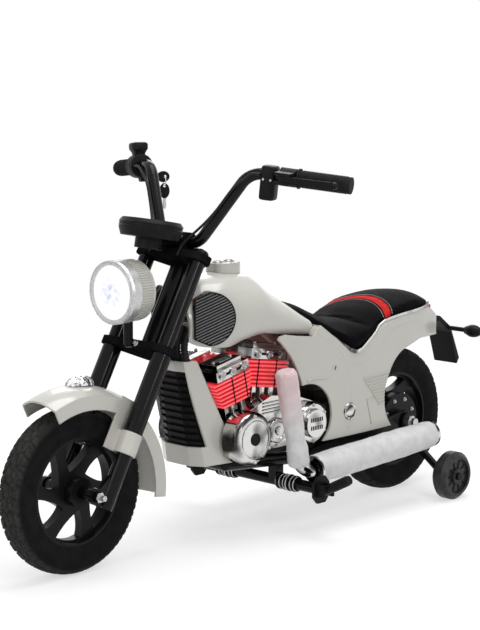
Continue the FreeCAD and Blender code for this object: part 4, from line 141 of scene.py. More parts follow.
class Surface:
    """A principled material, with short words for the textures that vary it."""

    def __init__(self, name, metal=0.0, specular=0.5):
        self.material = bpy.data.materials.new(name)
        self.material.use_nodes = True
        self.tree = self.material.node_tree
        self.shader = self.tree.nodes["Principled BSDF"]
        self.put("Metallic", metal)
        self.put("Specular IOR Level", specular)
        self.place = self.add("ShaderNodeTexCoord").outputs["Object"]
        self.normal = None

    def put(self, socket, value):
        fill(self.tree, self.shader.inputs[socket], value)

    def add(self, kind, inputs=None, **settings):
        return add_node(self.tree, kind, inputs, **settings)

    def noise(self, size, detail=3.0):
        """Cloudy noise whose blobs are about this size in millimetres."""
        inputs = {"Vector": self.place, "Scale": 1 / (size * MM), "Detail": detail, "Roughness": 0.55}
        return self.add("ShaderNodeTexNoise", inputs).outputs["Fac"]

    def cells(self, size, feature="F1", place=None):
        inputs = {"Vector": place or self.place, "Scale": 1 / (size * MM)}
        return self.add("ShaderNodeTexVoronoi", inputs, feature=feature).outputs["Distance"]

    def stretched(self, scale, shift=(0.0, 0.0, 0.0)):
        inputs = {"Vector": self.place, "Location": shift, "Scale": scale}
        return self.add("ShaderNodeMapping", inputs).outputs["Vector"]

    def reach(self, spot):
        """How far a place lies from the origin."""
        return self.add("ShaderNodeVectorMath", {0: spot}, operation="LENGTH").outputs["Value"]

    def span(self, value, low, high, start=0.0, end=1.0):
        """The value's run from start to end, taken to low and high."""
        inputs = {"Value": value, "From Min": start, "From Max": end, "To Min": low, "To Max": high}
        return self.add("ShaderNodeMapRange", inputs).outputs["Result"]

    def math(self, operation, one, two=0.0, three=0.0):
        return self.add("ShaderNodeMath", {0: one, 1: two, 2: three}, operation=operation).outputs[0]

    def waves(self, value, pitch):
        """A sine along a length, with a pitch in millimetres."""
        return self.math("SINE", self.math("MULTIPLY", value, 2 * math.pi / (pitch * MM)))

    def axis(self, name):
        return self.add("ShaderNodeSeparateXYZ", {0: self.place}).outputs[name]

    def blend(self, share, one, two):
        inputs = {0: share, 6: one, 7: two}
        return self.add("ShaderNodeMix", inputs, data_type="RGBA").outputs[2]

    def shades(self, value, dark, light, start=0.3, end=0.7):
        """Runs between two colours as the value goes from start to end."""
        return self.blend(self.span(value, 0.0, 1.0, start, end), (*dark, 1.0), (*light, 1.0))

    def clouds(self, size, detail, dark, light):
        """Two colours in clouds of about this size."""
        return self.shades(self.noise(size, detail), dark, light)

    def soft_edges(self, radius):
        """Rounds the shading of sharp edges, and returns how near an edge is."""
        rounded = self.add("ShaderNodeBevel", {"Radius": radius * MM}, samples=4).outputs["Normal"]
        plain = self.add("ShaderNodeNewGeometry").outputs["Normal"]
        product = self.add("ShaderNodeVectorMath", {0: rounded, 1: plain}, operation="DOT_PRODUCT")
        self.normal = rounded
        return self.span(product.outputs["Value"], 1.0, 0.0, 0.75, 0.99)

    def bump(self, height, strength, depth):
        inputs = {"Height": height, "Strength": strength, "Distance": depth * MM}
        if self.normal is not None:
            inputs["Normal"] = self.normal
        self.normal = self.add("ShaderNodeBump", inputs).outputs["Normal"]

    def finish(self, tones, gloss, *grains):
        """Gives the clouds of colour, if any, the uneven gloss and the fine grain, and ends the material."""
        if tones:
            self.put("Base Color", self.clouds(*tones))
        size, detail, low, high = gloss
        self.put("Roughness", self.span(self.noise(size, detail), low, high))
        for size, detail, strength, depth in grains:
            self.bump(self.noise(size, detail), strength, depth)
        if self.normal is not None:
            self.put("Normal", self.normal)
        return self.material


def plain(name, tones, gloss, *grains, edge=None, metal=0.0, specular=0.5):
    """A material with nothing more than clouds of colour, uneven gloss and grain."""
    s = Surface(name, metal, specular)
    if edge:
        s.soft_edges(edge)
    return s.finish(tones, gloss, *grains)


def worn_black(name, specular, edge, patches, colours, gloss, grain, cells=None):
    """Black that has gone grey along its edges, in patches."""
    s = Surface(name, specular=specular)
    near = s.soft_edges(edge)
    size, *spread = patches
    worn = s.math("MULTIPLY", near, s.span(s.noise(size, 4.0), *spread))
    s.put("Base Color", s.blend(worn, *((*colour, 1) for colour in colours)))
    if cells:
        s.bump(s.cells(cells, "SMOOTH_F1"), 0.22, 0.12)
    return s.finish(None, gloss, grain)


def white_plastic():
    s = Surface("white_gloss_plastic")
    s.soft_edges(4.0)
    s.put("Coat Weight", 0.5)
    s.put("Coat Roughness", 0.05)
    return s.finish((260, 1.0, (0.585, 0.573, 0.522), (0.615, 0.604, 0.56)), (60, 2.0, 0.2, 0.25),
                    (4.0, 2.0, 0.03, 0.15))


STEEL_TONES = (6, 5.0, (0.42, 0.42, 0.43), (0.62, 0.61, 0.6))
STEEL_GLOSS = (4, 4.0, 0.24, 0.46)
STEEL_GRAIN = (0.9, 3.0, 0.15, 0.1)
# Where the nuts begin on the axle, from the middle
NUTS_FROM = (0.0785, 0.0795)


def axle_steel():
    """Plated at the nuts and dark between the fork legs."""
    s = Surface("axle_steel", metal=1.0)
    s.soft_edges(0.6)
    nuts = s.span(s.math("ABSOLUTE", s.axis("Y")), 0.0, 1.0, *NUTS_FROM)
    dark = s.clouds(8, 3.0, (0.012, 0.012, 0.013), (0.026, 0.026, 0.027))
    s.put("Base Color", s.blend(nuts, dark, s.clouds(*STEEL_TONES)))
    return s.finish(None, STEEL_GLOSS, STEEL_GRAIN)


def tyre_rubber(end):
    """Black rubber, greyer on the tread than on the side walls."""
    s = Surface(end + "_tyre_rubber", specular=0.06)
    reach = s.reach(s.stretched((1.0, 0.0, 1.0), tuple(-mm(WHEEL_X[end], 0, AXLE_Z))))
    wall = s.clouds(26, 5.0, (0.005, 0.005, 0.0055), (0.012, 0.0118, 0.0115))
    tread = s.clouds(9, 4.0, (0.022, 0.022, 0.0215), (0.05, 0.049, 0.047))
    s.put("Base Color", s.blend(s.span(reach, 0.0, 1.0, 138 * MM, 145 * MM), wall, tread))
    return s.finish(None, (11, 4.0, 0.55, 0.8), (1.1, 3.0, 0.3, 0.2))


# How much of the light a plated face still gives back when it is seen nearly edge on
EDGE_TINT = (0.4, 0.4, 0.4, 1.0)


def chrome():
    """Bright plate with painted reflections: dark and light streaks set by the way each face points."""
    s = Surface("chrome_plate", metal=1.0)
    s.put("Specular Tint", EDGE_TINT)
    s.soft_edges(1.1)
    # Painted reflection: the colour goes dark and light in wavy streaks with the way the face points.
    lie = s.add("ShaderNodeSeparateXYZ", {0: s.add("ShaderNodeNewGeometry").outputs["Normal"]})
    tilt = s.math("ADD", lie.outputs["Z"], s.math("MULTIPLY", lie.outputs["X"], 0.6))
    tilt = s.math("ADD", tilt, s.span(s.noise(46, 1.0), -0.75, 0.75))
    painted_reflection = s.math("SINE", s.math("MULTIPLY_ADD", tilt, 4.6, 2.0))
    s.put("Base Color", s.shades(painted_reflection, (0.045, 0.044, 0.042), (0.64, 0.635, 0.62), -0.7, 0.75))
    return s.finish(None, (14, 5.0, 0.04, 0.16), (22.0, 2.0, 0.2, 1.6), (1.5, 2.0, 0.03, 0.1))


def lit_fins():
    """Red fins lit from within, with a painted highlight along their edges and painted shade in the gaps."""
    s = Surface("red_lit_fins", specular=0.25)
    edge = s.soft_edges(0.8)
    gap_shade = s.add("ShaderNodeAmbientOcclusion", {"Distance": 7 * MM}, samples=6).outputs["AO"]
    glow = s.clouds(34, 2.0, (0.68, 0.024, 0.036), (0.9, 0.052, 0.07))
    # Painted highlight: the glow turns pinkish white near the fin edges.
    s.put("Emission Color", s.blend(s.math("MULTIPLY", edge, 0.7), glow, (1.0, 0.2, 0.22, 1)))
    # Painted shade: ambient occlusion dims the glow in the gaps between the fins.
    s.put("Emission Strength", s.span(gap_shade, 0.18, 0.98, 0.25, 0.85))
    return s.finish((12, 3.0, (0.44, 0.012, 0.016), (0.56, 0.022, 0.026)), (9, 3.0, 0.22, 0.4),
                    (3, 2.0, 0.06, 0.2))


def lit_edge():
    """A painted highlight for the edges of the lit fins: a brighter pink glow."""
    s = Surface("fin_edge_painted_highlight")
    s.put("Emission Color", s.clouds(30, 2.0, (1.0, 0.16, 0.18), (1.0, 0.3, 0.32)))
    s.put("Emission Strength", 0.35)
    return s.finish((12, 3.0, (0.75, 0.14, 0.15), (0.85, 0.26, 0.27)), (5, 3.0, 0.22, 0.4))


def red_lens():
    s = Surface("red_lamp_lens")
    s.soft_edges(0.8)
    s.put("Emission Color", (0.5, 0.01, 0.015, 1.0))
    s.put("Emission Strength", 0.12)
    s.put("Coat Weight", 0.6)
    s.bump(s.waves(s.axis("Y"), 4), 0.3, 0.4)
    return s.finish((14, 3.0, (0.32, 0.008, 0.012), (0.5, 0.016, 0.02)), (8, 3.0, 0.1, 0.22))


def headlight_glow():
    """The lit lens: white all over, with bluish facets round its middle."""
    s = Surface("headlight_lens_glow")
    s.put("Base Color", (0.2, 0.21, 0.24, 1.0))
    spot = s.stretched((1.0, 1.0, 1.0), tuple(-LENS_AT))
    reach = s.reach(spot)
    facets = s.cells(11, "F1", spot)
    middle = s.span(reach, 1.0, 0.0, 0.1 * LENS_R * MM, 0.62 * LENS_R * MM)
    shade = s.math("MULTIPLY", middle, s.span(facets, 1.0, 0.0, 0.1, 0.62))
    s.put("Emission Color", s.blend(shade, (1.0, 1.0, 0.985, 1), (0.3, 0.4, 0.86, 1)))
    s.put("Emission Strength", 0.84)
    s.put("Coat Weight", 0.6)
    s.bump(facets, 0.3, 0.8)
    s.bump(s.waves(reach, 5), 0.12, 0.3)
    return s.finish(None, (7, 3.0, 0.06, 0.16))


def faceted_lamp():
    """A plated reflector under a clear cut lens, with painted reflections in its facets."""
    s = Surface("faceted_clear_lamp", metal=0.85)
    s.put("Specular Tint", EDGE_TINT)
    # Painted reflection: each facet of the plate is coloured dark or bright, as if it reflected something
    # different.
    s.put("Base Color", s.shades(s.cells(7), (0.05, 0.052, 0.056), (0.85, 0.86, 0.87), 0.15, 0.62))
    s.put("Coat Weight", 1.0)
    s.put("Coat Roughness", 0.03)
    s.bump(s.cells(9, "F1", s.stretched((1.0, 1.5, 0.7))), 0.9, 3.2)
    return s.finish(None, (6, 3.0, 0.04, 0.14))


# The edges of the red band across the saddle: x in its middle, and how far they bow at its sides
BAND_FRONT = (-333.0, 27.0)
BAND_REAR = (-353.0, 29.0)
BAND_HALF = 80.0
BAND_SOFT = 0.3 * MM


def seat_leather():
    """Black grained leather, with the red band across the saddle."""
    s = Surface("seat_leather", specular=0.01)
    side = s.math("DIVIDE", s.axis("Y"), BAND_HALF * MM)
    sweep = s.math("MULTIPLY", side, side)
    edges = []
    for start, bow in (BAND_FRONT, BAND_REAR):
        bowed = s.math("ADD", s.math("MULTIPLY", sweep, bow * MM), start * MM)
        edges.append(s.math("SUBTRACT", s.axis("X"), bowed))
    behind = s.span(edges[0], 1.0, 0.0, -BAND_SOFT, BAND_SOFT)
    ahead = s.span(edges[1], 0.0, 1.0, -BAND_SOFT, BAND_SOFT)
    black = s.clouds(30, 4.0, (0.003, 0.003, 0.0036), (0.007, 0.007, 0.0078))
    red = s.clouds(14, 4.0, (0.5, 0.02, 0.02), (0.64, 0.034, 0.03))
    s.put("Base Color", s.blend(s.math("MULTIPLY", behind, ahead), black, red))
    s.bump(s.span(s.cells(1.7, "DISTANCE_TO_EDGE"), 0.0, 1.0, 0.0, 0.12), 0.3, 0.25)
    return s.finish(None, (10, 4.0, 0.4, 0.6), (11, 3.0, 0.12, 0.8))


def foam_sheet():
    """White expanded foam sheet with small closed cells, with a painted red glow near the lit engine."""
    s = Surface("white_foam_sheet")
    white = s.clouds(20, 4.0, (0.64, 0.645, 0.655), (0.78, 0.78, 0.782))
    # Painted light: the foam goes pink towards its top, as if lit by the glowing fins.
    painted_glow = s.span(s.axis("Z"), 0.0, 0.45, 200 * MM, 335 * MM)
    s.put("Base Color", s.blend(painted_glow, white, (0.86, 0.4, 0.42, 1)))
    s.put("Subsurface Weight", 0.35)
    s.put("Subsurface Radius", (1.0, 0.8, 0.7))
    s.put("Subsurface Scale", 0.006)
    s.put("Sheen Weight", 0.1)
    s.bump(s.cells(2.6, "SMOOTH_F1"), 0.5, 0.7)
    return s.finish(None, (8, 4.0, 0.42, 0.66), (9, 4.0, 0.35, 1.4))


TYRES = {end: tyre_rubber(end) for end in WHEEL_X}
MATERIALS = {
    "white_gloss": white_plastic(),
    "black_paint": worn_black("black_gloss_paint", 0.13, 0.9, (9, 0.0, 0.5, 0.45, 0.75),
                              ((0.005, 0.005, 0.006), (0.03, 0.03, 0.031)), (24, 4.0, 0.12, 0.26),
                              (2.2, 2.0, 0.06, 0.15)),
    "black_plastic": worn_black("black_grained_plastic", 0.12, 0.8, (7, 0.0, 0.55, 0.4, 0.75),
                                ((0.006, 0.006, 0.0063), (0.04, 0.04, 0.041)), (16, 5.0, 0.34, 0.56),
                                (0.7, 2.0, 0.12, 0.1), cells=0.9),
    "wheel_black": worn_black("wheel_satin_black", 0.13, 1.2, (8, 0.1, 0.4),
                              ((0.006, 0.006, 0.007), (0.035, 0.035, 0.036)), (20, 4.0, 0.26, 0.44),
                              (1.6, 3.0, 0.1, 0.15)),
    "tyre_black": TYRES["front"],
    "grip_rubber": plain("grip_rubber", (12, 4.0, (0.008, 0.008, 0.009), (0.018, 0.018, 0.019)),
                         (8, 3.0, 0.6, 0.85), (0.8, 2.0, 0.25, 0.2), specular=0.14),
    "bright_trim": chrome(),
    "zinc_steel": plain("zinc_plated_steel", STEEL_TONES, STEEL_GLOSS, STEEL_GRAIN, edge=0.6, metal=1.0),
    "lamp_clear": headlight_glow(),
    "lamp_red": red_lens(),
    "fin_red": lit_fins(),
    "seat_leather": seat_leather(),
    "foam_white": foam_sheet(),
    "cord_black": plain("cord_sheath", (20, 3.0, (0.005, 0.005, 0.006), (0.011, 0.011, 0.012)),
                        (9, 3.0, 0.32, 0.55), (1.4, 2.0, 0.12, 0.1), specular=0.2),
}
SILVER = plain("silver_paint", (5, 4.0, (0.52, 0.52, 0.53), (0.68, 0.68, 0.68)), (4, 3.0, 0.22, 0.4),
               (0.8, 2.0, 0.1, 0.08), metal=0.55)
GLOSS = plain("black_gloss_tube", (40, 3.0, (0.0035, 0.0035, 0.0045), (0.006, 0.006, 0.0068)),
              (20, 3.0, 0.1, 0.17), (3, 2.0, 0.03, 0.1), edge=1.2, specular=0.16)
FIN_EDGE_HIGHLIGHT = lit_edge()
# Painted highlight: the grille ribs are coloured light grey to stand in for the highlights along black ribs.
GRILLE = plain("grille_rib_painted_highlight", (7, 4.0, (0.13, 0.13, 0.132), (0.19, 0.19, 0.19)), (5, 3.0, 0.22, 0.36),
               (1.0, 2.0, 0.12, 0.1))
PRINT = plain("dial_print", (3, 3.0, (0.7, 0.7, 0.67), (0.8, 0.8, 0.77)), (2, 3.0, 0.42, 0.6))
RED_PRINT = plain("red_print", (4, 3.0, (0.44, 0.02, 0.016), (0.56, 0.036, 0.026)), (3, 3.0, 0.34, 0.5))
ROLLER = plain("roller_plastic", (12, 4.0, (0.014, 0.014, 0.014), (0.036, 0.035, 0.034)),
               (9, 4.0, 0.26, 0.48), (3.0, 3.0, 0.12, 0.3), edge=1.4, specular=0.25)
# Without a shine, for faces seen nearly edge on
SATIN = plain("satin_black_paint", (24, 4.0, (0.007, 0.007, 0.008), (0.013, 0.013, 0.014)),
              (9, 3.0, 0.44, 0.58), (1.4, 2.0, 0.08, 0.1), edge=1.2, specular=0.0)
NODE_MATERIALS = {
    "fender_lamp": faceted_lamp(),
    "training_wheel_left": ROLLER,
    "training_wheel_right": ROLLER,
    "headlight_bezel": SILVER,
    "fork_legs": GLOSS,
    "fork_sleeves": GLOSS,
    "handlebar": GLOSS,
    "front_axle": axle_steel(),
    "upper_clamp": SATIN,
    "lower_clamp": SATIN,
}


def dress_nodes():
    """Gives every carried-over solid its procedural material."""
    for row in frame["record"]["subparts"]:
        node = row["node"]
        mesh = NODES[node].data
        mesh.materials.clear()
        mesh.materials.append(NODE_MATERIALS.get(node, MATERIALS[row["material_slot"]]))


# Mesh helpers
def place_object(name, data):
    thing = bpy.data.objects.new(name, data)
    bpy.context.scene.collection.objects.link(thing)
    return thing


def new_piece(name, data, slot, body, material):
    thing = place_object(name, data)
    data.materials.append(material or MATERIALS[slot])
    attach(thing, body)
    return thing


def from_bmesh(name, bm, slot, body="chassis", material=None, smooth_angle=40.0):
    """Makes a piece of a built mesh, smooth except across sharp edges."""
    bmesh.ops.recalc_face_normals(bm, faces=bm.faces)
    for face in bm.faces:
        face.smooth = True
    for edge in bm.edges:
        edge.smooth = edge.calc_face_angle(0.0) < math.radians(smooth_angle)
    mesh = bpy.data.meshes.new(name)
    bm.to_mesh(mesh)
    bm.free()
    return new_piece(name, mesh, slot, body, material)


def piece_of(form, name, place, *shape, slot, body="chassis", material=None):
    """A piece of a single form, such as a turned one."""
    bm = bmesh.new()
    form(bm, place, *shape)
    return from_bmesh(name, bm, slot, body, material)


def ring_of(bm, place, radius, height, sides):
    """One ring of vertices, or a single one at the axis."""
    if radius < TINY:
        return [bm.verts.new(place @ Vector((0, 0, height)))]
    spots = [Vector((radius * math.cos(a), radius * math.sin(a), height)) for a in round_steps(sides)]
    return [bm.verts.new(place @ spot) for spot in spots]


def bridge(bm, one, two):
    """Joins two rings of vertices with faces."""
    count = max(len(one), len(two))
    for i in range(count):
        j = (i + 1) % count
        corners = [one[i % len(one)], one[j % len(one)], two[j % len(two)], two[i % len(two)]]
        corners = [c for k, c in enumerate(corners) if c not in corners[:k]]
        if len(corners) > 2:
            bm.faces.new(corners)


def chain(bm, rings, closed=False):
    """Joins each ring of vertices with the next one."""
    for one, two in zip(rings, rings[1:] + (rings[:1] if closed else [])):
        bridge(bm, one, two)


def turned(bm, place, profile, sides):
    """Adds a turned form: (radius, height) pairs in millimetres about the z axis of place."""
    chain(bm, [ring_of(bm, place, radius * MM, height * MM, sides) for radius, height in profile])


def hex_bolt(bm, place, radius, height):
    """A chamfered hexagon head on a washer, standing on the z axis of place."""
    washer = 0.22 * height
    turned(bm, place, ((0, -0.6), (1.5 * radius, -0.6), (1.5 * radius, 0.6 * washer), (1.4 * radius, washer),
                       (0, washer)), 24)
    turned(bm, place, ((radius, washer), (radius, 0.82 * height), (0.86 * radius, height), (0, height)), 6)


def cap_screw(bm, place, radius, height):
    """A round head with a socket in its top."""
    turned(bm, place, ((radius, -0.6), (radius, 0.75 * height), (0.85 * radius, height),
                       (0.55 * radius, height)), 24)
    turned(bm, place, ((0.55 * radius, height), (0.52 * radius, 0.35 * height), (0, 0.3 * height)), 24)


def bolt_at(bm, found, radius, height, head=hex_bolt):
    """A bolt where a line has met a surface."""
    if found:
        head(bm, facing(*found), radius, height)


def facing(point, normal, along=UP):
    """A frame at a point with z along a normal and x near to a wanted direction."""
    z = normal.normalized()
    x = along - z * along.dot(z)
    if x.length < 0.01:
        x = AHEAD - z * z.x
    x.normalize()
    turn = Matrix((x, z.cross(x), z)).transposed().to_4x4()
    return Matrix.Translation(point) @ turn


class Skin:
    """Finds points on the surface of a mesh."""

    def __init__(self, mesh):
        corners = [v.co.copy() for v in mesh.vertices]
        faces = [tuple(p.vertices) for p in mesh.polygons]
        self.tree = BVHTree.FromPolygons(corners, faces)

    def hit(self, start, way):
        point, normal, _, _ = self.tree.ray_cast(start, way)
        if point is None:
            return None
        if normal.dot(way) > 0:
            normal = -normal
        return point, normal

    def seat(self, start, way, along=UP):
        point, normal = self.hit(start, way)
        return facing(point, normal, along)

    def traced(self, starts, way, lift):
        """The points where lines from the starts meet the surface, lifted off it."""
        found = [self.hit(start, way) for start in starts]
        return [point + normal * lift * MM for point, normal in (f for f in found if f)]

    def rows(self, lines, way, lift, least):
        """Traced lines, without those that keep too few points."""
        found = [self.traced(starts, way, lift) for starts in lines]
        return [points for points in found if len(points) >= least]


def skin(node):
    return Skin(NODES[node].data)


def line(start, end, steps):
    return [start.lerp(end, i / (steps - 1)) for i in range(steps)]


BEAD_DETAIL = 3


def wire(name, paths, radius, slot, body="chassis", material=None, closed=False):
    """Round beads along paths of points, all in one curve piece."""
    curve = bpy.data.curves.new(name, "CURVE")
    curve.dimensions = "3D"
    curve.bevel_depth = radius * MM
    curve.bevel_resolution = BEAD_DETAIL
    curve.use_fill_caps = True
    for points in paths:
        spline = curve.splines.new("POLY")
        spline.points.add(len(points) - 1)
        for spot, point in zip(spline.points, points):
            spot.co = (*point, 1.0)
        spline.use_cyclic_u = closed
        spline.use_smooth = True
    return new_piece(name, curve, slot, body, material)


def circle_points(place, radius, count=72):
    return [place @ mm(radius * math.cos(a), radius * math.sin(a), 0) for a in round_steps(count)]


def beads(name, places, radius, bead, slot, body="chassis", material=None, count=72):
    """Round beads about the z axis of each place, all in one piece."""
    paths = [circle_points(place, radius, count) for place in places]
    return wire(name, paths, bead, slot, body, material, closed=True)


def evaluated_mesh(thing):
    graph = bpy.context.evaluated_depsgraph_get()
    return bpy.data.meshes.new_from_object(thing.evaluated_get(graph))


def make_finer(thing):
    finer = thing.modifiers.new("finer", "SUBSURF")
    finer.levels = 1
    finer.render_levels = 1


# Camera, floor and light
def aim(thing, at, target):
    """Puts a camera or lamp at a place and turns it to a target."""
    thing.location = at
    thing.rotation_mode = "QUATERNION"
    thing.rotation_quaternion = (target - Vector(at)).to_track_quat("-Z", "Y")


def make_camera():
    data = bpy.data.cameras.new("camera")
    data.lens = CAMERA_LENS
    camera = place_object("camera", data)
    aim(camera, CAMERA_AT, CAMERA_TO)
    bpy.context.scene.camera = camera


def seen_rays(tree):
    """One where a ray comes from the camera, a reflection or clear material."""
    path = add_node(tree, "ShaderNodeLightPath").outputs
    seen = path["Is Camera Ray"]
    for name in ("Is Glossy Ray", "Is Transmission Ray"):
        seen = add_node(tree, "ShaderNodeMath", {0: seen, 1: path[name]}, operation="MAXIMUM").outputs[0]
    return seen


def output(tree, kind, inputs):
    return add_node(tree, "ShaderNode" + kind, inputs).outputs[0]


def make_sky():
    world = bpy.data.worlds.new("studio")
    bpy.context.scene.world = world
    world.use_nodes = True
    tree = world.node_tree
    tree.nodes.clear()
    light, shown = (output(tree, "Background", {"Color": WHITE, "Strength": s}) for s in (SKY_LIGHT, 1.0))
    sky = output(tree, "MixShader", {0: seen_rays(tree), 1: light, 2: shown})
    add_node(tree, "ShaderNodeOutputWorld", {"Surface": sky})


def floor_material():
    """A pale floor that keeps the shadow near the object and runs out to white."""
    material = bpy.data.materials.new("pale_floor")
    material.use_nodes = True
    tree = material.node_tree
    tree.nodes.clear()
    place = add_node(tree, "ShaderNodeTexCoord").outputs["Object"]
    reach = add_node(tree, "ShaderNodeVectorMath", {0: place}, operation="LENGTH").outputs["Value"]
    fade = output(tree, "MapRange", {"Value": reach, "From Min": FLOOR_FADE[0], "From Max": FLOOR_FADE[1]})
    shown = output(tree, "BsdfDiffuse", {"Color": FLOOR_SHOWN})
    near = output(tree, "AddShader", {0: shown, 1: output(tree, "Emission", {"Color": FLOOR_LIFT})})
    seen = output(tree, "MixShader", {0: fade, 1: near, 2: output(tree, "Emission", {"Color": WHITE})})
    light = output(tree, "BsdfDiffuse", {"Color": FLOOR_PLAIN})
    floor = output(tree, "MixShader", {0: seen_rays(tree), 1: light, 2: seen})
    add_node(tree, "ShaderNodeOutputMaterial", {"Surface": floor})
    return material


def make_floor():
    mesh = bpy.data.meshes.new("floor")
    corners = [(x, y, 0) for x, y in ((-1, -1), (1, -1), (1, 1), (-1, 1))]
    mesh.from_pydata([Vector(c) * FLOOR_HALF for c in corners], [], [(0, 1, 2, 3)])
    mesh.materials.append(floor_material())
    place_object("floor", mesh)


def make_lamps():
    for name, (at, (wide, high), power) in LAMPS.items():
        data = bpy.data.lights.new(name, "AREA")
        data.shape = "RECTANGLE"
        data.size = wide
        data.size_y = high
        data.energy = power
        aim(place_object(name, data), at, LAMPS_AIM)


# Tyres
TYRE_STEPS = 576
TYRE_BLOCKS = 36
TREAD_HALF = 26.5
TREAD_DEPTH = 3.0
TREAD_FROM = 139.0
WALL_RINGS = (112.0, 133.0)
WALL_RING_HALF = 0.9
WALL_RING_DEPTH = 0.7
GROOVE_SLOPE = 0.35
# Grooves of the tread, in shares of its half width across and of a block round it: the two zigzags as place,
# swing and half width, then the cuts between them as reach, slant and half width
ZIGZAG = (0.27, 0.07, 0.055)
OUTER_ZIGZAG = (0.62, 0.05, 0.04)
MIDDLE_CUT = (0.24, 0.9, 0.07)
LUG_CUT = (0.27, 0.55, 0.085)
LUG_TURN = 0.3
EDGE_TICK = (0.72, 0.3, 0.09)
TICK_DEPTH = 0.6


def notch(distance, half):
    """One inside a groove of this half width, falling to nothing at its sides."""
    edge = (half - abs(distance)) / (half * GROOVE_SLOPE) + 0.5
    return max(0.0, min(1.0, edge))


def saw(value):
    """A triangle wave from -1 to 1."""
    part = value % 1.0
    return 4 * abs(part - 0.5) - 1


def tread_cut(turn, side):
    """How deep the tread is cut, as a share, by the turn in blocks and the place across in millimetres."""
    across = side / TREAD_HALF
    wide = abs(across)
    if wide > 1.0:
        return 0.0
    lane = 1 if across > 0 else -1
    block = turn + 0.25 * lane
    deep = []
    for shift, (place, swing, half) in ((0.0, ZIGZAG), (0.5, OUTER_ZIGZAG)):
        deep.append(notch(wide - place - swing * saw(block + shift), half))
    reach, slant, half = MIDDLE_CUT
    if wide < reach:
        deep.append(notch((turn + slant * across) % 1.0 - 0.5, half))
    reach, slant, half = LUG_CUT
    if wide > reach:
        deep.append(notch((block + 0.5 + slant * (wide - LUG_TURN)) % 1.0 - 0.5, half))
    reach, shift, half = EDGE_TICK
    if wide > reach:
        deep.append(TICK_DEPTH * notch((2 * block + shift) % 1.0 - 0.5, half))
    return max(deep)


def smooth_section(points, steps):
    """Points on an even curve through the given ones."""
    out = []
    for i in range(len(points) - 1):
        before = points[max(i - 1, 0)]
        one, two = points[i], points[i + 1]
        after = points[min(i + 2, len(points) - 1)]
        for k in range(steps):
            t = k / steps
            pair = []
            for a, b, c, d in zip(before, one, two, after):
                curl = 2 * a - 5 * b + 4 * c - d + t * (3 * (b - c) + d - a)
                pair.append(b + 0.5 * t * (c - a + t * curl))
            out.append(tuple(pair))
    return out + [points[-1]]


def bent(points):
    """More points on a smooth line through the given ones."""
    return [Vector(p) for p in smooth_section([tuple(p) for p in points], 6)]


def treaded_tyre(end):
    """A tyre with cut tread blocks and ringed side walls, in place of the plain solid."""
    half = smooth_section(TYRE_SECTION, 5)
    section = [(r, -y) for r, y in half] + [(r, y) for r, y in reversed(half[:-1])]
    bm = bmesh.new()
    centre = mm(WHEEL_X[end], 0, AXLE_Z)
    rings = []
    for i, angle in enumerate(round_steps(TYRE_STEPS)):
        way = Vector((math.cos(angle), 0, math.sin(angle)))
        turn = i * TYRE_BLOCKS / TYRE_STEPS
        ring = []
        for radius, side in section:
            cut = TREAD_DEPTH * tread_cut(turn, side) if radius > TREAD_FROM else 0.0
            wall = WALL_RING_DEPTH * sum(notch(radius - at, WALL_RING_HALF) for at in WALL_RINGS)
            inward = side - math.copysign(wall, side) if wall else side
            ring.append(bm.verts.new(centre + way * (radius - cut) * MM + mm(0, inward, 0)))
        rings.append(ring)
    chain(bm, rings, closed=True)
    tyre = from_bmesh(end + "_treaded_tyre", bm, "tyre_black", end + "_wheel", TYRES[end], smooth_angle=55)
    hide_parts(end + "_tyre")


def make_tyres():
    for end in WHEEL_X:
        treaded_tyre(end)


# Seat: points whose normal rises less than SEAT_HELD are held, and none moves further than SEAT_CAP
SEAT_VOXEL = 5.0
SEAT_PRESSURE = 4.0
SEAT_CAP = 7.0
SEAT_FRAMES = 20
SEAT_QUALITY = 5
SEAT_HELD = 0.12
SEAM_DEPTH = 2.4
SEAM_HALF = 3.4
SEAM_REACH = 86.0
SEAM_STEPS = 120
ABOVE_SEAT = 700.0
STITCH_OFF = 4.6
STITCH_LONG = 3.4
STITCH_PITCH = 5.2
STITCH_RISE = 0.25
STITCH_R = 0.42


def swelled(thing, held):
    """Where the cloth's points go when the pad is blown up."""
    group = thing.vertex_groups.new(name="held")
    group.add(held, 1.0, "REPLACE")
    cloth = thing.modifiers.new("swell", "CLOTH")
    cloth.settings.use_pressure = True
    cloth.settings.uniform_pressure_force = SEAT_PRESSURE
    cloth.settings.effector_weights.gravity = 0.0
    cloth.settings.vertex_group_mass = "held"
    cloth.settings.quality = SEAT_QUALITY
    cloth.collision_settings.use_collision = False
    for number in range(1, SEAT_FRAMES + 1):
        bpy.context.scene.frame_set(number)
    blown = evaluated_mesh(thing)
    points = [v.co.copy() for v in blown.vertices]
    bpy.data.meshes.remove(blown)
    thing.modifiers.remove(cloth)
    thing.vertex_groups.remove(group)
    bpy.context.scene.frame_set(1)
    return points


def band_line(edge, side):
    """The x of one edge of the red band at a place across the seat, in millimetres."""
    start, bow = edge
    return start + bow * (side / BAND_HALF) ** 2


def seam_drop(point):
    """How far the stitched seams pull the cover in at a point of the seat, in millimetres."""
    x, y = point.x / MM, point.y / MM
    deep = 0.0
    for edge in (BAND_FRONT, BAND_REAR):
        off = (x - band_line(edge, y)) / SEAM_HALF
        deep = max(deep, math.exp(-off * off))
    return SEAM_DEPTH * deep


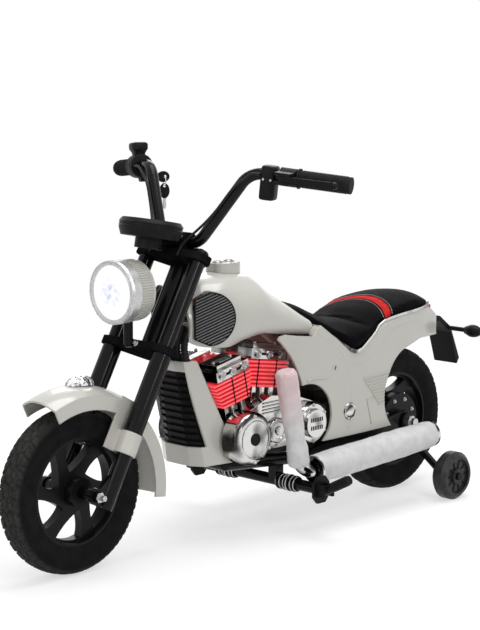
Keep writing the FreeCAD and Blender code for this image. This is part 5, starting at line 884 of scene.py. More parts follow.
def make_seat():
    """The saddle: the solid's form, blown up by cloth simulation, with its seams pulled in."""
    seat = place_object("seat_cover", NODES["seat_cushion"].data.copy())
    remesh = seat.modifiers.new("even", "REMESH")
    remesh.mode = "VOXEL"
    remesh.voxel_size = SEAT_VOXEL * MM
    even = evaluated_mesh(seat)
    seat.modifiers.clear()
    seat.data = even
    normals = [v.normal.copy() for v in even.vertices]
    held = [v.index for v in even.vertices if normals[v.index].z < SEAT_HELD]
    blown = swelled(seat, held)
    for vert, point in zip(even.vertices, blown):
        move = point - vert.co
        if move.length > SEAT_CAP * MM:
            move *= SEAT_CAP * MM / move.length
        vert.co += move
    for vert, normal in zip(even.vertices, normals):
        if normal.z > 0:
            vert.co -= normal * seam_drop(vert.co) * MM * min(1.0, 2 * normal.z)
    for face in even.polygons:
        face.use_smooth = True
    even.materials.clear()
    even.materials.append(MATERIALS["seat_leather"])
    make_finer(seat)
    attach(seat, "chassis")
    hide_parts("seat_cushion")
    seat_seams(seat)


def stitch_row(name, points):
    """Short stitches along a line of points, all in one piece."""
    paths = []
    travelled = 0.0
    due = 0.0
    for one, two in zip(points, points[1:]):
        step = (two - one).length / MM
        while step > TINY and due <= travelled + step:
            start = one.lerp(two, (due - travelled) / step)
            way = (two - one).normalized() * STITCH_LONG * MM
            paths.append([start, start + way / 2 + UP * STITCH_RISE * MM, start + way])
            due += STITCH_PITCH
        travelled += step
    wire(name, paths, STITCH_R, "seat_leather", material=SILVER)


def seat_seams(seat):
    """Piping along the red band and a row of stitches at each side of it."""
    cover = Skin(evaluated_mesh(seat))
    sides = [-SEAM_REACH + 2 * SEAM_REACH * i / SEAM_STEPS for i in range(SEAM_STEPS + 1)]
    for name, edge, way in (("front", BAND_FRONT, 1), ("rear", BAND_REAR, -1)):
        starts = [mm(band_line(edge, y), y, ABOVE_SEAT) for y in sides]
        wire("seat_piping_" + name, [cover.traced(starts, DOWN, 0.3)], 1.1, "seat_leather")
        starts = [mm(band_line(edge, y) + way * STITCH_OFF, y, ABOVE_SEAT) for y in sides]
        stitch_row("seat_stitches_" + name, cover.traced(starts, DOWN, 0.15))


# Foam wraps on the exhaust: their ends, radii from end to end, seed and steps round and along
FOAM_Y = 129.0
FOAMS = {
    "muffler": (((-36.7, 123.0), (-402.7, 138.0)), (29.5, 30.9, 30.7, 30.9, 30.3, 28.5), 3.1, 72, 110),
    "header": (((2.5, 138.0), (44.0, 330.0)),
               (22.3, 22.3, 22.3, 19.2, 21.0, 21.6, 22.0, 22.2, 22.2, 22.3, 22.3, 22.3), 7.7, 64, 90),
}
FOAM_RIM = 9.0
FOAM_GATHER = 5.0
FOAM_LAP = 0.9
FOAM_SUNK = 1.7
FOAM_DISH = 2.0
FOLD_ROUND, FOLD_LONG, FOLD_DEEP = 1.6, 26, 1.1
CREASE_FINER, CREASE_DEEP = 2.7, 0.5
LAP_TWIST, LAP_SEED = 0.55, 0.17
PLEATS, PLEAT_DEEP = 9, 1.3


def foam_wrap(name, path, radii, seed, around, along):
    """A foam sheet wound about a run of pipe, with a lapped edge and uneven folds."""
    bm = bmesh.new()
    start, end = path
    axis = (end - start).normalized()
    place = facing(start, axis, Vector((0, 1, 0)))
    length = (end - start).length / MM
    rings = []
    shift = Vector((seed, 0.37 * seed, 0))
    for i in range(along + 1):
        t = i / along
        here = t * (len(radii) - 1)
        k = min(int(here), len(radii) - 2)
        base = radii[k] + (radii[k + 1] - radii[k]) * (here - k)
        rim = min(t, 1 - t) * length
        gather = max(0.0, 1 - rim / FOAM_RIM)
        ring = []
        for a in round_steps(around):
            spot = Vector((math.cos(a) * FOLD_ROUND, math.sin(a) * FOLD_ROUND, t * length / FOLD_LONG))
            spot += shift
            fold = FOLD_DEEP * noise.noise(spot) + CREASE_DEEP * noise.noise(spot * CREASE_FINER)
            lap_at = (a / (2 * math.pi) + seed * LAP_SEED + LAP_TWIST * t) % 1.0
            lap = FOAM_LAP * (1 - lap_at)
            pleat = gather * PLEAT_DEEP * math.sin(PLEATS * a + seed)
            radius = base - FOAM_SUNK + fold + lap - gather * gather * FOAM_GATHER + pleat
            ring.append(bm.verts.new(place @ mm(radius * math.cos(a), radius * math.sin(a), t * length)))
        rings.append(ring)
    chain(bm, rings)
    for ring, height in ((rings[0], FOAM_DISH), (rings[-1], length - FOAM_DISH)):
        bridge(bm, ring, [bm.verts.new(place @ mm(0, 0, height))])
    wrap = from_bmesh(name, bm, "foam_white", smooth_angle=180)
    make_finer(wrap)
    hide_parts("foam_sleeves")


def make_foam():
    for label, side in SIDES:
        for name, (ends, radii, seed, around, along) in FOAMS.items():
            path = [mm(x, side * FOAM_Y, z) for x, z in ends]
            foam_wrap(name + "_foam_" + label, path, radii, seed + side, around, along)


# Headlight
BUCKET_RIBS = 72
BUCKET_RUN = (316.0, 344.0)
BUCKET_POINTS = 6
BUCKET_OUT = 0.12
BEZEL_X = 369.6
BEZEL_BEADS = (52.4, 57.4)
SCREW_X, SCREW_REACH = 370.0, 55.0


def headlight_details():
    """Fine ribs round the bucket, and beads and screws on the bezel."""
    bucket = skin("headlight_bucket")
    paths = []
    for a in round_steps(BUCKET_RIBS):
        way = Vector((0, math.cos(a), math.sin(a)))
        starts = line(*(mm(x, 0, LAMP_Z) + way * BUCKET_OUT for x in BUCKET_RUN), BUCKET_POINTS)
        points = bucket.traced(starts, -way, 0.0)
        if len(points) == BUCKET_POINTS:
            paths.append(points)
    wire("bucket_ribs", paths, 0.9, "white_gloss", "front_end")
    place = facing(mm(BEZEL_X, 0, LAMP_Z), AHEAD)
    rings = [circle_points(place, r) for r in BEZEL_BEADS]
    wire("bezel_beads", rings, 1.1, "bright_trim", "front_end", SILVER, closed=True)
    bm = bmesh.new()
    for angle in (90, 210, 330):
        a = math.radians(angle)
        spot = mm(SCREW_X, SCREW_REACH * math.cos(a), LAMP_Z + SCREW_REACH * math.sin(a))
        cap_screw(bm, facing(spot, AHEAD), 2.0, 1.8)
    from_bmesh("bezel_screws", bm, "zinc_steel", "front_end")


# Gauge
GAUGE_AT = mm(268.6, 0, 618)
GAUGE_UP = Vector((-0.1908, 0, 0.9816))
GAUGE_R = 59.0
GAUGE_BEADS = (-1.5, -9.0)
ABOVE_GAUGE = mm(12, 18, 200)
DIAL_R = 47.0
DIAL_SWEEP = (220.0, -40.0)
DIAL_NUMBERS = 7
DIAL_TICKS = 6
TICK_END = 43.0
TICK_HEIGHTS = (0.7, 1.05)
NUMBER_R, NUMBER_UP = 28.5, 0.95
NUMBER_SIZE, NUMBER_THICK = 9, 0.15
NEEDLE_ANGLE = DIAL_SWEEP[0] - 8
NEEDLE = ((-9, -1.2), (0, -1.8), (33, -0.35), (34, 0.0), (33, 0.35), (0, 1.8), (-9, 1.2))
NEEDLE_HEIGHTS = (1.3, 1.9)


def gauge_beads():
    """Raised rings round the side of the gauge."""
    places = [facing(GAUGE_AT + GAUGE_UP * h * MM, GAUGE_UP) for h in GAUGE_BEADS]
    beads("gauge_beads", places, GAUGE_R, 1.1, "black_plastic", "front_end", GLOSS)


def dial_angle(step, steps):
    return DIAL_SWEEP[0] + (DIAL_SWEEP[1] - DIAL_SWEEP[0]) * step / steps


def dial_mark(bm, place, angle, corners, heights):
    """A flat mark on the dial, its corners given along and across a direction."""
    a = math.radians(angle)
    way = Vector((math.cos(a), math.sin(a), 0))
    cross = Vector((-way.y, way.x, 0))
    spots = [way * u * MM + cross * v * MM for u, v in corners]
    rings = [[bm.verts.new(place @ (spot + mm(0, 0, z))) for spot in spots] for z in heights]
    bridge(bm, *rings)
    bm.faces.new(rings[1])


def gauge_dial():
    """A dial face with its ring, ticks, numbers and needle."""
    top = skin("gauge_pod").seat(GAUGE_AT + ABOVE_GAUGE, DOWN, AHEAD)
    normal = top.to_3x3() @ UP
    drop = (GAUGE_AT - top.translation).dot(normal)
    place = facing(GAUGE_AT - normal * drop, normal, Vector((0, -1, 0)))
    piece_of(turned, "dial_face", place, (
        (0, 0.2), (DIAL_R, 0.2), (DIAL_R, 0.5), (DIAL_R - 1, 0.8), (0, 0.8)), 72,
        slot="black_plastic", body="front_end")
    bm = bmesh.new()
    turned(bm, place, ((DIAL_R - 0.4, 0.2), (DIAL_R, 2.2), (DIAL_R + 1.6, 3.0), (DIAL_R + 3.4, 2.2),
                       (DIAL_R + 4.0, 0.0)), 96)
    turned(bm, place, ((0, 2.8), (3.4, 2.6), (4.4, 1.6), (4.6, 0.6)), 32)
    from_bmesh("dial_ring", bm, "bright_trim", "front_end")
    bm = bmesh.new()
    marks = DIAL_TICKS * (DIAL_NUMBERS - 1)
    for i in range(marks + 1):
        inner, half = (38.5, 0.35) if i % DIAL_TICKS else (35.5, 0.75)
        corners = ((inner, -half), (TICK_END, -half), (TICK_END, half), (inner, half))
        dial_mark(bm, place, dial_angle(i, marks), corners, TICK_HEIGHTS)
    from_bmesh("dial_ticks", bm, "white_gloss", "front_end", PRINT)
    for i in range(DIAL_NUMBERS):
        a = math.radians(dial_angle(i, DIAL_NUMBERS - 1))
        text = bpy.data.curves.new("dial_number_%d" % i, "FONT")
        text.body = str(i)
        text.size = NUMBER_SIZE * MM
        text.extrude = NUMBER_THICK * MM
        text.align_x = "CENTER"
        text.align_y = "CENTER"
        number = new_piece("dial_number_%d" % i, text, "white_gloss", "front_end", PRINT)
        spot = mm(NUMBER_R * math.cos(a), NUMBER_R * math.sin(a), NUMBER_UP)
        number.matrix_world = place @ Matrix.Translation(spot)
        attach(number, "front_end")
    piece_of(dial_mark, "dial_needle", place, NEEDLE_ANGLE, NEEDLE, NEEDLE_HEIGHTS,
             slot="lamp_red", body="front_end", material=RED_PRINT)


# Tank grilles
GRILLE_RIBS = 12
GRILLE_STEP = 5.6
GRILLE_SLANT = 0.38
GRILLE_HALF = 56
GRILLE_OUT = 60
FLAT = 0.995


def face_rim(mesh, normal, side):
    """The points round the flat face of a mesh that looks along a normal, on one side of the bike."""
    counts = {}
    for face in mesh.polygons:
        if face.normal.dot(normal) > FLAT and face.center.y * side > 0:
            for key in face.edge_keys:
                counts[key] = counts.get(key, 0) + 1
    ends = {}
    for (one, two), count in counts.items():
        if count == 1:
            ends.setdefault(one, []).append(two)
            ends.setdefault(two, []).append(one)
    loop = [next(iter(ends))]
    while True:
        onward = [v for v in ends[loop[-1]] if v not in loop]
        if not onward:
            return [mesh.vertices[v].co.copy() for v in loop]
        loop.append(onward[0])


def grille_ribs():
    """Slanting ribs across the two grilles at the front of the tank, and a bead round each."""
    mesh = NODES["tank_grilles"].data
    surface, tank = skin("tank_grilles"), skin("tank_shell")
    for label, side in SIDES:
        best = max((p for p in mesh.polygons if p.center.y * side > 0 and p.normal.x > 0.1),
                   key=lambda p: p.area * max(0.0, p.normal.x))
        spots = [v.co for v in mesh.vertices if v.co.y * side > 0]
        middle = sum(spots, Vector()) / len(spots)
        place = facing(middle, best.normal)
        normal = place.to_3x3() @ UP
        across = range(-GRILLE_HALF, GRILLE_HALF + 1, 2)
        paths = []
        for i in range(-GRILLE_RIBS, GRILLE_RIBS + 1):
            level = i * GRILLE_STEP
            starts = [place @ mm(level - GRILLE_SLANT * side * u, u, GRILLE_OUT) for u in across]
            points = surface.traced(starts, -normal, 0.6)
            points = [p for p in points if (p - middle).dot(normal) > 0]
            if len(points) > 6:
                paths.append(points)
        wire("grille_ribs_" + label, paths, 1.15, "black_plastic", material=GRILLE)
        rim = []
        for point in face_rim(mesh, best.normal, side):
            found = tank.hit(point + best.normal * 0.05, -best.normal)
            proud = found and (found[0] - point).dot(best.normal) > 0
            rim.append(found[0] if proud else point)
        wire("grille_rim_" + label, [rim], 1.8, "black_plastic", closed=True)


# Side covers: lines as (x, z) in millimetres
SWOOSH = ((-58, 290), (-72, 293), (-90, 292), (-106, 290), (-119, 293), (-128, 302), (-131, 312))
COVER_RIDGES = (
    ((-148, 352), (-160, 335), (-172, 310), (-181, 282), (-186, 256), (-186, 232), (-183, 196), (-176, 180)),
    ((-86, 386), (-132, 354), (-164, 329), (-198, 307), (-234, 314), (-268, 333), (-302, 355), (-340, 371),
     (-387, 374), (-431, 367)),
)
RIDGE_R = 12.0
RIDGE_SUNK = 11.1
COVER_SLOT = ((-137, 303), (-138, 307), (-140, 311))
COVER_CORNER = ((-262, 230.5), (-233, 231), (-248, 178))
LOUVRES = 10
LOUVRE_FRONT, LOUVRE_SHIFT, LOUVRE_BACK = -221, 5.4, -330
LOUVRE_TOP, LOUVRE_DROP, LOUVRE_RISE = 275, 6.6, 4
LOUVRE_OUT = 0.07
CAP_AT = (-181, 214)
CAP = ((17.5, -1.5), (17.5, 1.5), (16.6, 2.6), (14.8, 2.8), (13.6, 1.6), (12.6, 1.5), (11.6, 2.9), (8, 4.4),
       (4, 5.2), (0, 5.4))
CAP_STUDS = 8
STUD_REACH = 15.6


def drawn(points, side):
    """The points of a line on one side of the bike, well out from it."""
    return [beside(x, side, z) for x, z in points]


def cover_details():
    """Raised louvre lines, a curled line, a corner line, a slot and a plated cap on each side cover."""
    for label, side in SIDES:
        cover = skin("side_cover_" + label)
        way = Vector((0, -side, 0))
        paths = []
        for i in range(LOUVRES):
            z = LOUVRE_TOP - LOUVRE_DROP * i
            front = LOUVRE_FRONT - LOUVRE_SHIFT * i
            starts = line(*drawn(((front, z), (LOUVRE_BACK, z + LOUVRE_RISE)), side), 60)
            points = [p for p in cover.traced(starts, way, 0.3) if abs(p.y) > LOUVRE_OUT]
            if len(points) > 3:
                paths.append(points[:-1])
        wire("cover_louvres_" + label, paths, 2.0, "white_gloss")
        corner = drawn(COVER_CORNER, side)
        starts = line(corner[0], corner[1], 14) + line(corner[1], corner[2], 16)[1:]
        wire("cover_corner_" + label, [cover.traced(starts, way, 0.2)], 1.6, "white_gloss")
        swoosh = cover.traced(bent(drawn(SWOOSH, side)), way, 0.0)
        wire("cover_swoosh_" + label, [swoosh], 2.2, "white_gloss")
        ridges = [cover.traced(bent(drawn(ridge, side)), way, -RIDGE_SUNK) for ridge in COVER_RIDGES]
        wire("cover_ridges_" + label, ridges, RIDGE_R, "white_gloss")
        slot = cover.traced(drawn(COVER_SLOT, side), way, -0.6)
        wire("cover_slot_" + label, [slot], 1.5, "black_plastic")
        place = cover.seat(beside(CAP_AT[0], side, CAP_AT[1]), way)
        piece_of(turned, "cover_cap_" + label, place, CAP, 64, slot="bright_trim")
        bm = bmesh.new()
        for a in round_steps(CAP_STUDS):
            spot = place @ Matrix.Translation(mm(STUD_REACH * math.cos(a), STUD_REACH * math.sin(a), 2.4))
            turned(bm, spot, ((1.1, -0.4), (1.0, 0.4), (0.5, 0.8), (0, 0.9)), 12)
        from_bmesh("cover_cap_studs_" + label, bm, "black_plastic")


# Engine: round covers as x, z and the reach of their bolts; cylinders as foot, lean in degrees, half width,
# length of the lowest and of the top fin, and where studs cross the fins, as shares of that length
ENGINE_COVERS = ((106.0, 203.0, 44.0), (-83.0, 203.0, 36.0))
CYLINDERS = {
    "front": (mm(109.8, 0, 245.5), 12.0, 70.0, 70.0, 102.0, (0.04, -0.3)),
    "rear": (mm(21.3, 0, 259.3), -9.0, 52.0, 74.0, 120.0, (0.22, -0.2)),
}
FOOT_UP = 25.0
FINS_UP = 79.6
HEAD_UP = 99.6
CAP_UP = 108.6
ENGINE_SPLIT = 17.0
FIN_COUNT = 7
FIN_STEP = 7.8
FIN_THICK = 4.4
HEAD_SHARE = 0.86
HEAD_PROUD = 2.2
FIN_DEPTH = 7.0
CAP_INSET = 11.0
SMALL_COVER = (6.0, 200.0)
CASE_BOLTS = ((-30, 174), (40, 176), (-32, 238), (-124, 180), (-126, 212))
CASE_RIBS_X = (-40, 44)
CASE_RIBS_Z = (238, 244.5, 251, 257.5)
VENT_STEP, VENT_HALF, VENT_POINTS = 5.2, 4, 5
VENT_ROWS = (-8, 8)
RING_INSET = 8
BOSS_SHARES, SLOT_SHARES, SCREW_SHARES = (-0.66, 0.0, 0.66), (-0.33, 0.33), (-0.7, 0.7)
BOSS = ((8.4, -0.8), (8.4, 2.2), (7.4, 3.2), (5.6, 3.2), (5.2, 2.0), (0, 2.0))
SLOT_RUN = (-4.5, 0, 4.5)
RIB_SHARES, RIB_STEPS = (-0.45, 0, 0.45), (-7, 0, 7)
TUBES_AT, TUBE_FOOT = (-13, 11), -18


def bolt_ring(bm, surface, x, z, reach, count, side, size):
    """Bolts in a ring on a surface, seen from one side of the bike."""
    way = Vector((0, -side, 0))
    for a in round_steps(count, 0.5):
        start = beside(x + reach * math.cos(a), side, z + reach * math.sin(a))
        bolt_at(bm, surface.hit(start, way), size, 1.3 * size)


def cover_trim(label, side):
    """Bolts and rings on the round engine covers, a plug in the front one and vent bars in the rear one."""
    covers = skin("engine_covers")
    way = Vector((0, -side, 0))
    bm = bmesh.new()
    rings = []
    for x, z, reach in ENGINE_COVERS:
        bolt_ring(bm, covers, x, z, reach, 6, side, 2.6)
        starts = circle_points(facing(beside(x, side, z), -way), reach - RING_INSET)
        rings.append(covers.traced(starts, way, 0.0))
    from_bmesh("engine_bolts_" + label, bm, "zinc_steel")
    (front, level, _), (x, z, _) = ENGINE_COVERS
    piece_of(turned, "cover_plug_" + label, covers.seat(beside(front, side, level), way),
             ((12, -0.5), (12, 1.6), (11, 2.4), (7, 2.6), (6.4, 1.6), (0, 1.4)), 48, slot="black_plastic")
    wire("engine_rings_" + label, rings, 1.3, "bright_trim", closed=True)
    reach = mm(0, 0, VENT_HALF)
    spots = [beside(x + VENT_STEP * i, side, z + row) for row in VENT_ROWS for i in range(-3, 4)]
    lines = [line(spot - reach, spot + reach, VENT_POINTS) for spot in spots]
    wire("engine_vents_" + label, covers.rows(lines, way, 0.1, VENT_POINTS), 1.2, "black_plastic")


def crankcase_trim(label, side):
    """A small round cover, cooling ribs and bolts on the crankcase."""
    case = skin("crankcase")
    way = Vector((0, -side, 0))
    x, z = SMALL_COVER
    piece_of(turned, "small_cover_" + label, case.seat(beside(x, side, z), way), (
        (25, -1), (25, 5), (23, 7.4), (17, 8), (16, 6.4), (9, 6.4), (8, 9), (0, 9.6)), 64, slot="bright_trim")
    bm = bmesh.new()
    bolt_ring(bm, case, x, z, 30, 6, side, 2.4)
    for start in drawn(CASE_BOLTS, side):
        bolt_at(bm, case.hit(start, way), 3.0, 3.8)
    from_bmesh("crankcase_bolts_" + label, bm, "zinc_steel")
    lines = [line(*drawn([(x, z) for x in CASE_RIBS_X], side), 30) for z in CASE_RIBS_Z]
    wire("crankcase_ribs_" + label, case.rows(lines, way, 0.2, 5), 1.7, "bright_trim")


def cylinder_trim(label, side):
    """Bosses, slots, ribs and screws on the heads, studs and beads with a painted highlight along the fin
    edges, and pushrod tubes.
    """
    bosses, bolts = bmesh.new(), bmesh.new()
    slots, studs, tubes, ribs, edges = [], [], [], [], []
    out = Vector((0, side, 0))
    for at, lean, outer, low, long, stud_shares in CYLINDERS.values():
        block = Matrix.Translation(at) @ Matrix.Rotation(math.radians(lean), 4, "Y")
        up = block.to_3x3() @ UP
        half = long * HEAD_SHARE / 2
        face = side * (outer + HEAD_PROUD)
        level = (FINS_UP + HEAD_UP) / 2
        for share in BOSS_SHARES:
            place = facing(block @ mm(share * half, face, level), out, up)
            turned(bosses, place, BOSS, 32)
            hex_bolt(bolts, place @ Matrix.Translation(mm(0, 0, 2.0)), 3.0, 3.2)
        for share in SLOT_SHARES:
            slots.append([block @ mm(share * half + u, face - side * 0.4, level) for u in SLOT_RUN])
        deep = side * (ENGINE_SPLIT + outer + CAP_INSET / 2) / 2
        reach = half - CAP_INSET
        for share in SCREW_SHARES:
            cap_screw(bolts, facing(block @ mm(share * reach, deep, CAP_UP), up), 3.6, 3.4)
        for step in RIB_STEPS:
            ribs.append([block @ mm(u * reach, deep + step, CAP_UP) for u in RIB_SHARES])
        for share in stud_shares:
            y = side * (outer + 0.3)
            studs.append([block @ mm(share * long, y, height) for height in (FINS_UP, FOOT_UP - 3)])
        for i in range(FIN_COUNT):
            half = (low + (long - low) * i / (FIN_COUNT - 1)) / 2
            height = FOOT_UP + FIN_STEP * i + FIN_THICK / 2
            corners = ((half, ENGINE_SPLIT + 6), (half, outer), (-half, outer))
            edges.append([block @ mm(u, side * y, height) for u, y in corners])
        for u in TUBES_AT:
            y = side * (outer - FIN_DEPTH + 2)
            tubes.append([block @ mm(u, y, height) for height in (FOOT_UP + 1, TUBE_FOOT)])
    from_bmesh("head_bosses_" + label, bosses, "bright_trim")
    from_bmesh("head_bolts_" + label, bolts, "zinc_steel")
    wire("head_slots_" + label, slots, 2.8, "black_plastic")
    wire("head_ribs_" + label, ribs, 1.8, "bright_trim")
    wire("fin_studs_" + label, studs, 1.4, "black_plastic")
    wire("pushrod_tubes_" + label, tubes, 4.4, "bright_trim")
    # The beads on the fin edges glow brighter as a painted highlight.
    wire("fin_edges_" + label, edges, 0.8, "fin_red", material=FIN_EDGE_HIGHLIGHT)


def engine_details():
    for label, side in SIDES:
        cover_trim(label, side)
        crankcase_trim(label, side)
        cylinder_trim(label, side)


# Controls and fastenings
ALONG_BAR = Matrix.Rotation(math.radians(90), 4, "Y")
BAR_BORE = 11.02
SWITCH_INSET = 155.0
SWITCH_LEVELS = ((-46, 10.5, 12.5), (-45, 13.4, 15.4), (-42, 14.8, 16.8), (-36, 15, 17), (11, 15, 17),
                 (14.6, 14.2, 16.2), (16.4, 12.4, 14.4), (17, 10, 12))
SWITCH_SEAMS = (-14, -2)
HORN_DROP = 28.5
HORN_WELL = 6.6
THROTTLE_INSET = 122.0
DRUM = ((11.1, -18), (21, -18), (23, -16), (23, 16), (21, 18), (11.1, 18), (11.1, -18))
DRUM_R = 23.0
POD_LEVELS = ((14, 12, 11), (25, 12.6, 11.6), (30, 15, 14.4), (32.6, 17.4, 16.4), (41, 17.8, 16.8),
              (44.6, 16.6, 15.6), (46, 14, 13))
SCREEN_LEVELS = ((45.4, 13, 12), (46.4, 12.6, 11.6))
LOCK_DROP = 22.0
LOCK = ((3, 35), (8, 35), (9, 34), (9, 0), (3, 0), (3, 35))


def rounded_ring(place, height, across, deep, count=56, power=4.0):
    """Points round a rounded rectangle across the z axis of place."""
    points = []
    for a in round_steps(count):
        x = math.copysign(abs(math.cos(a)) ** (2 / power), math.cos(a)) * across
        y = math.copysign(abs(math.sin(a)) ** (2 / power), math.sin(a)) * deep
        points.append(place @ mm(x, y, height))
    return points


def rounded_case(bm, place, levels):
    """A closed case of rounded sections: (height, half across, half deep) in millimetres."""
    rings = [[bm.verts.new(p) for p in rounded_ring(place, *level)] for level in levels]
    chain(bm, rings)
    bm.faces.new(rings[0])
    bm.faces.new(rings[-1])


def bored(case, place, profile, sides):
    """Takes a turned volume out of a piece."""
    bm = bmesh.new()
    turned(bm, place, profile, sides)
    bmesh.ops.recalc_face_normals(bm, faces=bm.faces)
    mesh = bpy.data.meshes.new("cutter")
    bm.to_mesh(mesh)
    bm.free()
    cutter = place_object("cutter", mesh)
    bore = case.modifiers.new("bore", "BOOLEAN")
    bore.operation = "DIFFERENCE"
    bore.object = cutter
    shape = evaluated_mesh(case)
    case.modifiers.remove(bore)
    bpy.data.objects.remove(cutter)
    case.data = shape


def switch_case():
    """The rounded switch box on the left bar."""
    place = bar_place(1, SWITCH_INSET)
    ahead = place.to_3x3() @ Vector((0, 1, 0))
    case = piece_of(rounded_case, "switch_case", place, SWITCH_LEVELS, slot="black_plastic", body="front_end")
    bored(case, place @ ALONG_BAR, ((0, -30), (BAR_BORE, -30), (BAR_BORE, 30), (0, 30)), 48)
    well = facing(place @ mm(0, 6, -HORN_DROP), ahead)
    bored(case, well, ((0, 0), (HORN_WELL, 0), (HORN_WELL, 20), (0, 20)), 40)
    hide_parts("switch_box")
    seams = [rounded_ring(place, height, 15.05, 17.05) for height in SWITCH_SEAMS]
    wire("switch_seams", seams, 0.5, "black_plastic", "front_end", closed=True)
    bm = bmesh.new()
    for step in (-7, 7):
        cap_screw(bm, facing(place @ mm(step, -17, -8), -ahead), 2.2, 1.6)
    from_bmesh("switch_screws", bm, "zinc_steel", "front_end")


def throttle_case():
    """The throttle's case with its key lock and small screen."""
    place = bar_place(-1, THROTTLE_INSET)
    bm = bmesh.new()
    turned(bm, place @ ALONG_BAR, DRUM, 56)
    rounded_case(bm, place, POD_LEVELS)
    turned(bm, facing(place @ mm(0, 0, -LOCK_DROP), place.to_3x3() @ Vector((0, -1, 0))), LOCK, 40)
    case = from_bmesh("throttle_case", bm, "black_plastic", "front_end")
    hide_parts("throttle_housing")
    piece_of(rounded_case, "throttle_screen", place, SCREEN_LEVELS,
             slot="black_plastic", body="front_end", material=GLOSS)
    places = [place @ ALONG_BAR @ Matrix.Translation(mm(0, 0, h)) for h in (-9, 9)]
    beads("throttle_rings", places, DRUM_R, 0.6, "black_plastic", "front_end")


KEY_MOUTH = mm(83.7, -179.9, 682.8)
KEY_WAY = Vector((-0.9085, 0.4179, 0))
KEY_SIDE = Vector((0.4179, 0.9085, 0))
KEY_HOLE = 15.84
KEY_STEPS = 40
HOLE_R = 3.2
KEY_BOW, SPARE_BOW = (26, 22, 5, 4), (30, 21, 4.4, -10)
KEY_SHANK = ((0, 0), (2.5, 0), (2.5, 17.5), (0, 17.5))
SPARE_BLADE = ((0, 3.5, 1.1), (18, 3.5, 1.1), (21.6, 1.4, 0.9))
RING_R = 9.0


def key_bow(bm, place, long, wide, thick, hole_at):
    """A flat oval with a hole: x along it and z through it."""
    def oval(x, half_long, half_wide, height):
        steps = round_steps(KEY_STEPS)
        spots = [mm(x + half_long * math.cos(a), half_wide * math.sin(a), height) for a in steps]
        return [bm.verts.new(place @ spot) for spot in spots]

    rings = [oval(hole_at, HOLE_R, HOLE_R, -thick / 2)]
    for share, height in ((0.9, -0.5), (1.0, -0.24), (1.0, 0.24), (0.9, 0.5)):
        rings.append(oval(0, share * long / 2, share * wide / 2, height * thick))
    rings.append(oval(hole_at, HOLE_R, HOLE_R, thick / 2))
    chain(bm, rings, closed=True)


def make_keys():
    """A key in the lock and a spare one hanging from it on a split ring."""
    bm = bmesh.new()
    key_bow(bm, facing(KEY_MOUTH + KEY_WAY * 13.4 * MM, KEY_SIDE, KEY_WAY), *KEY_BOW)
    turned(bm, facing(KEY_MOUTH + KEY_WAY * 2 * MM, -KEY_WAY), KEY_SHANK, 24)
    key = from_bmesh("key_in_lock", bm, "black_plastic", "key")
    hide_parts("ignition_key")
    hook = KEY_MOUTH + KEY_WAY * KEY_HOLE * MM
    low = hook - mm(0, 0, 2 * RING_R)
    spare = piece_of(key_bow, "spare_bow", facing(low - mm(0, 0, 10), KEY_SIDE, DOWN), *SPARE_BOW,
                     slot="black_plastic", body="spare")
    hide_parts("spare_key")
    blade = piece_of(rounded_case, "spare_blade", facing(low - mm(0, 0, 24), DOWN, KEY_WAY),
                     SPARE_BLADE, slot="zinc_steel", body="spare")
    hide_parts("spare_key")
    middle = facing(hook - mm(0, 0, RING_R), KEY_WAY)
    split = beads("key_split_ring", [middle], RING_R, 0.9, "zinc_steel", "spare", count=48)
    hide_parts("spare_key")


HOSES = (((210, 38, 420), (223, 40, 398), (227, 42, 380), (222, 42, 362), (213, 42, 346)),
         ((208, 22, 422), (222, 22, 400), (228, 23, 382), (224, 24, 364), (214, 24, 346)))
HOSE_R = 6.5
HOSE_PITCH = 4.0


def neck_hoses():
    """Ribbed sleeves for the wiring, from the frame's neck down behind the radiator."""
    cores, ribs = [], []
    for route in HOSES:
        path = bent([mm(*p) for p in route])
        cores.append(path)
        travelled = 0.0
        for one, two in zip(path, path[1:]):
            travelled += (two - one).length / MM
            if travelled > HOSE_PITCH:
                travelled = 0.0
                ribs.append(facing(two, two - one))
    wire("hose_cores", cores, HOSE_R, "cord_black")
    beads("hose_ribs", ribs, HOSE_R, 1.1, "cord_black", count=28)


# Rings and bolts on the panel, grips, pegs, fork, wheels and footrest bar
PANEL_X = 81.3
PANEL_TOP = 529.8
BUTTON_STEP = 15.0
BUTTON_R = 10.0
GRIP_R = 15.5
GRIP_RINGS, GRIP_FROM, GRIP_STEP = 17, 10, 5
FOOTREST_X, FOOTREST_Z = -17.2, 94.0
FOOTREST_RINGS, FOOTREST_FROM, FOOTREST_STEP = 6, 60, 9.2
ABOVE_FOOTREST = 60
PEG_Y = 179.1
PEG_RISE = math.radians(27.5)
PEG_R = 9.0
PEG_RINGS = range(24, 63, 6)
RING_PROUD = 0.1
LEG_FORE, LEG_SIDE, LEG_TOP = 32.0, 66.7, 490.0
LEG_CAP = ((13.4, -1), (13.4, 1.6), (12.2, 2.8), (8, 2.8), (7.4, 1.4), (0, 1.2))
LEG_HEXAGON = ((6, 0), (6, 3.6), (5, 4.4), (0, 4.4))
BAR_MIDDLE = 195.6
CLAMP_FORE, CLAMP_SIDE = (-15, 15), 18
ABOVE_BAR = 800.0
STEM_BOLT = (140, 14, 292)
VALVE_AT = {"front": 200.0, "rear": 320.0}
VALVE_RUN, VALVE_Y = (95, 88, 80), 6
DRUM_BOLTS = 44.0
SPOKES = 10
SPOKE_POINTS = 6
SPOKE_RUN = (0.013, 0.033)


def panel_rings():
    """A bright ring round each push button on the tank."""
    spots = [mm(PANEL_X + step, 0, PANEL_TOP + 0.2) for step in (BUTTON_STEP, -BUTTON_STEP)]
    beads("button_rings", [facing(spot, UP) for spot in spots], BUTTON_R, 1.0, "bright_trim", count=48)


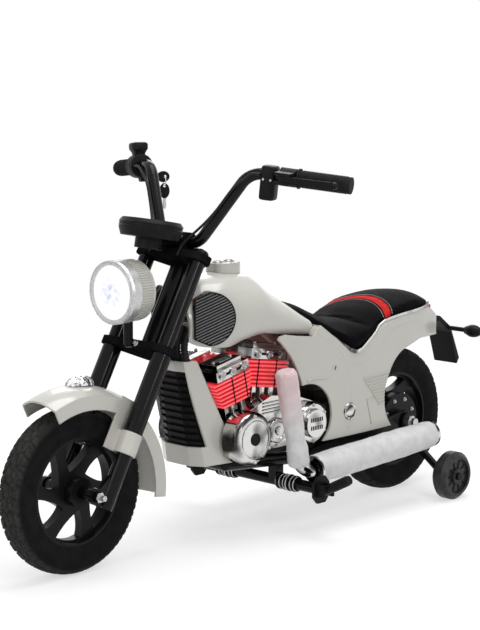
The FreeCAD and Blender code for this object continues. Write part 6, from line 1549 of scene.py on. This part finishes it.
def grip_rings():
    """Raised rings along both hand grips."""
    for (label, side), body in zip(SIDES, ("front_end", "throttle")):
        spots = [bar_place(side, GRIP_FROM + GRIP_STEP * i).translation for i in range(GRIP_RINGS)]
        places = [facing(spot, BAR_OUT[side]) for spot in spots]
        beads("grip_rings_" + label, places, GRIP_R + RING_PROUD, 0.9, "grip_rubber", body, count=40)


def peg_rings():
    """Raised rings on the folding pegs."""
    for label, side in SIDES:
        way = Vector((0, side * math.cos(PEG_RISE), math.sin(PEG_RISE)))
        foot = mm(FOOTREST_X, side * PEG_Y, FOOTREST_Z)
        places = [facing(foot + way * reach * MM, way) for reach in PEG_RINGS]
        beads("peg_rings_" + label, places, PEG_R + RING_PROUD, 1.0, "grip_rubber", label + "_peg", count=32)


def fork_caps():
    """A cap with a hexagon on top of each fork leg, and screws in the two clamps."""
    caps, screws = bmesh.new(), bmesh.new()
    clamp = skin("upper_clamp")
    for _, side in SIDES:
        place = facing(on_fork(LEG_FORE, side * LEG_SIDE, LEG_TOP), FORK_ALONG, AHEAD)
        turned(caps, place, LEG_CAP, 40)
        turned(caps, place @ Matrix.Translation(mm(0, 0, 1)), LEG_HEXAGON, 6)
        for step in CLAMP_FORE:
            found = clamp.hit(mm(BAR_MIDDLE + step, side * CLAMP_SIDE, ABOVE_BAR), DOWN)
            bolt_at(screws, found, 4.0, 4.4, cap_screw)
    bolt_at(screws, skin("lower_clamp").hit(on_fork(*STEM_BOLT), -FORK_AHEAD), 4.0, 5.0)
    from_bmesh("fork_caps", caps, "black_paint", "front_end", GLOSS)
    from_bmesh("clamp_screws", screws, "zinc_steel", "front_end")


def wheel_fittings():
    """A valve on each rim and a ring of bolts on each side of the motor drum."""
    for end, angle in VALVE_AT.items():
        a = math.radians(angle)
        way = Vector((math.cos(a), 0, math.sin(a)))
        centre = mm(WHEEL_X[end], 0, AXLE_Z)
        path = [centre + way * reach * MM + mm(0, VALVE_Y, 0) for reach in VALVE_RUN]
        wire(end + "_valve", [path], 2.6, "zinc_steel", end + "_wheel")
    rim = skin("rear_rim")
    bm = bmesh.new()
    for _, side in SIDES:
        bolt_ring(bm, rim, WHEEL_X["rear"], AXLE_Z, DRUM_BOLTS, 8, side, 2.8)
    from_bmesh("drum_bolts", bm, "zinc_steel", "rear_wheel")


def footrest_rings():
    """Bright rings on the ringed sleeves of the footrest bar."""
    bar = skin("footrest_bar")
    paths = []
    for _, side in SIDES:
        for i in range(FOOTREST_RINGS):
            y = side * (FOOTREST_FROM + FOOTREST_STEP * i)
            top, _ = bar.hit(mm(FOOTREST_X, y, FOOTREST_Z + ABOVE_FOOTREST), DOWN)
            place = facing(mm(FOOTREST_X, y, FOOTREST_Z), Vector((0, 1, 0)))
            paths.append(circle_points(place, (top.z / MM - FOOTREST_Z) + RING_PROUD, 48))
    wire("footrest_rings", paths, 1.15, "bright_trim", material=SILVER, closed=True)


def roller_details():
    """Spokes on the outer face of each stabiliser wheel."""
    for label, side in SIDES:
        node = "training_wheel_" + label
        low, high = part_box(node)
        outside = (low + high) / 2 + mm(0, side * 100, 0)
        ways = [Vector((math.cos(a), 0, math.sin(a))) for a in round_steps(SPOKES)]
        lines = [line(*(outside + way * reach for reach in SPOKE_RUN), SPOKE_POINTS) for way in ways]
        paths = skin(node).rows(lines, Vector((0, -side, 0)), 0.4, SPOKE_POINTS)
        wire("roller_spokes_" + label, paths, 1.5, "wheel_black", "stabiliser_wheel_" + label)


bpy.context.scene.view_settings.view_transform = "Standard"
for make in (make_camera, make_sky, make_floor, make_lamps, dress_nodes, make_tyres, make_seat, make_foam,
             headlight_details, gauge_dial, gauge_beads, grille_ribs, cover_details, engine_details,
             switch_case, throttle_case, make_keys, neck_hoses, panel_rings, grip_rings, peg_rings,
             fork_caps, wheel_fittings, footrest_rings, roller_details):
    make()
bpy.context.view_layer.update()
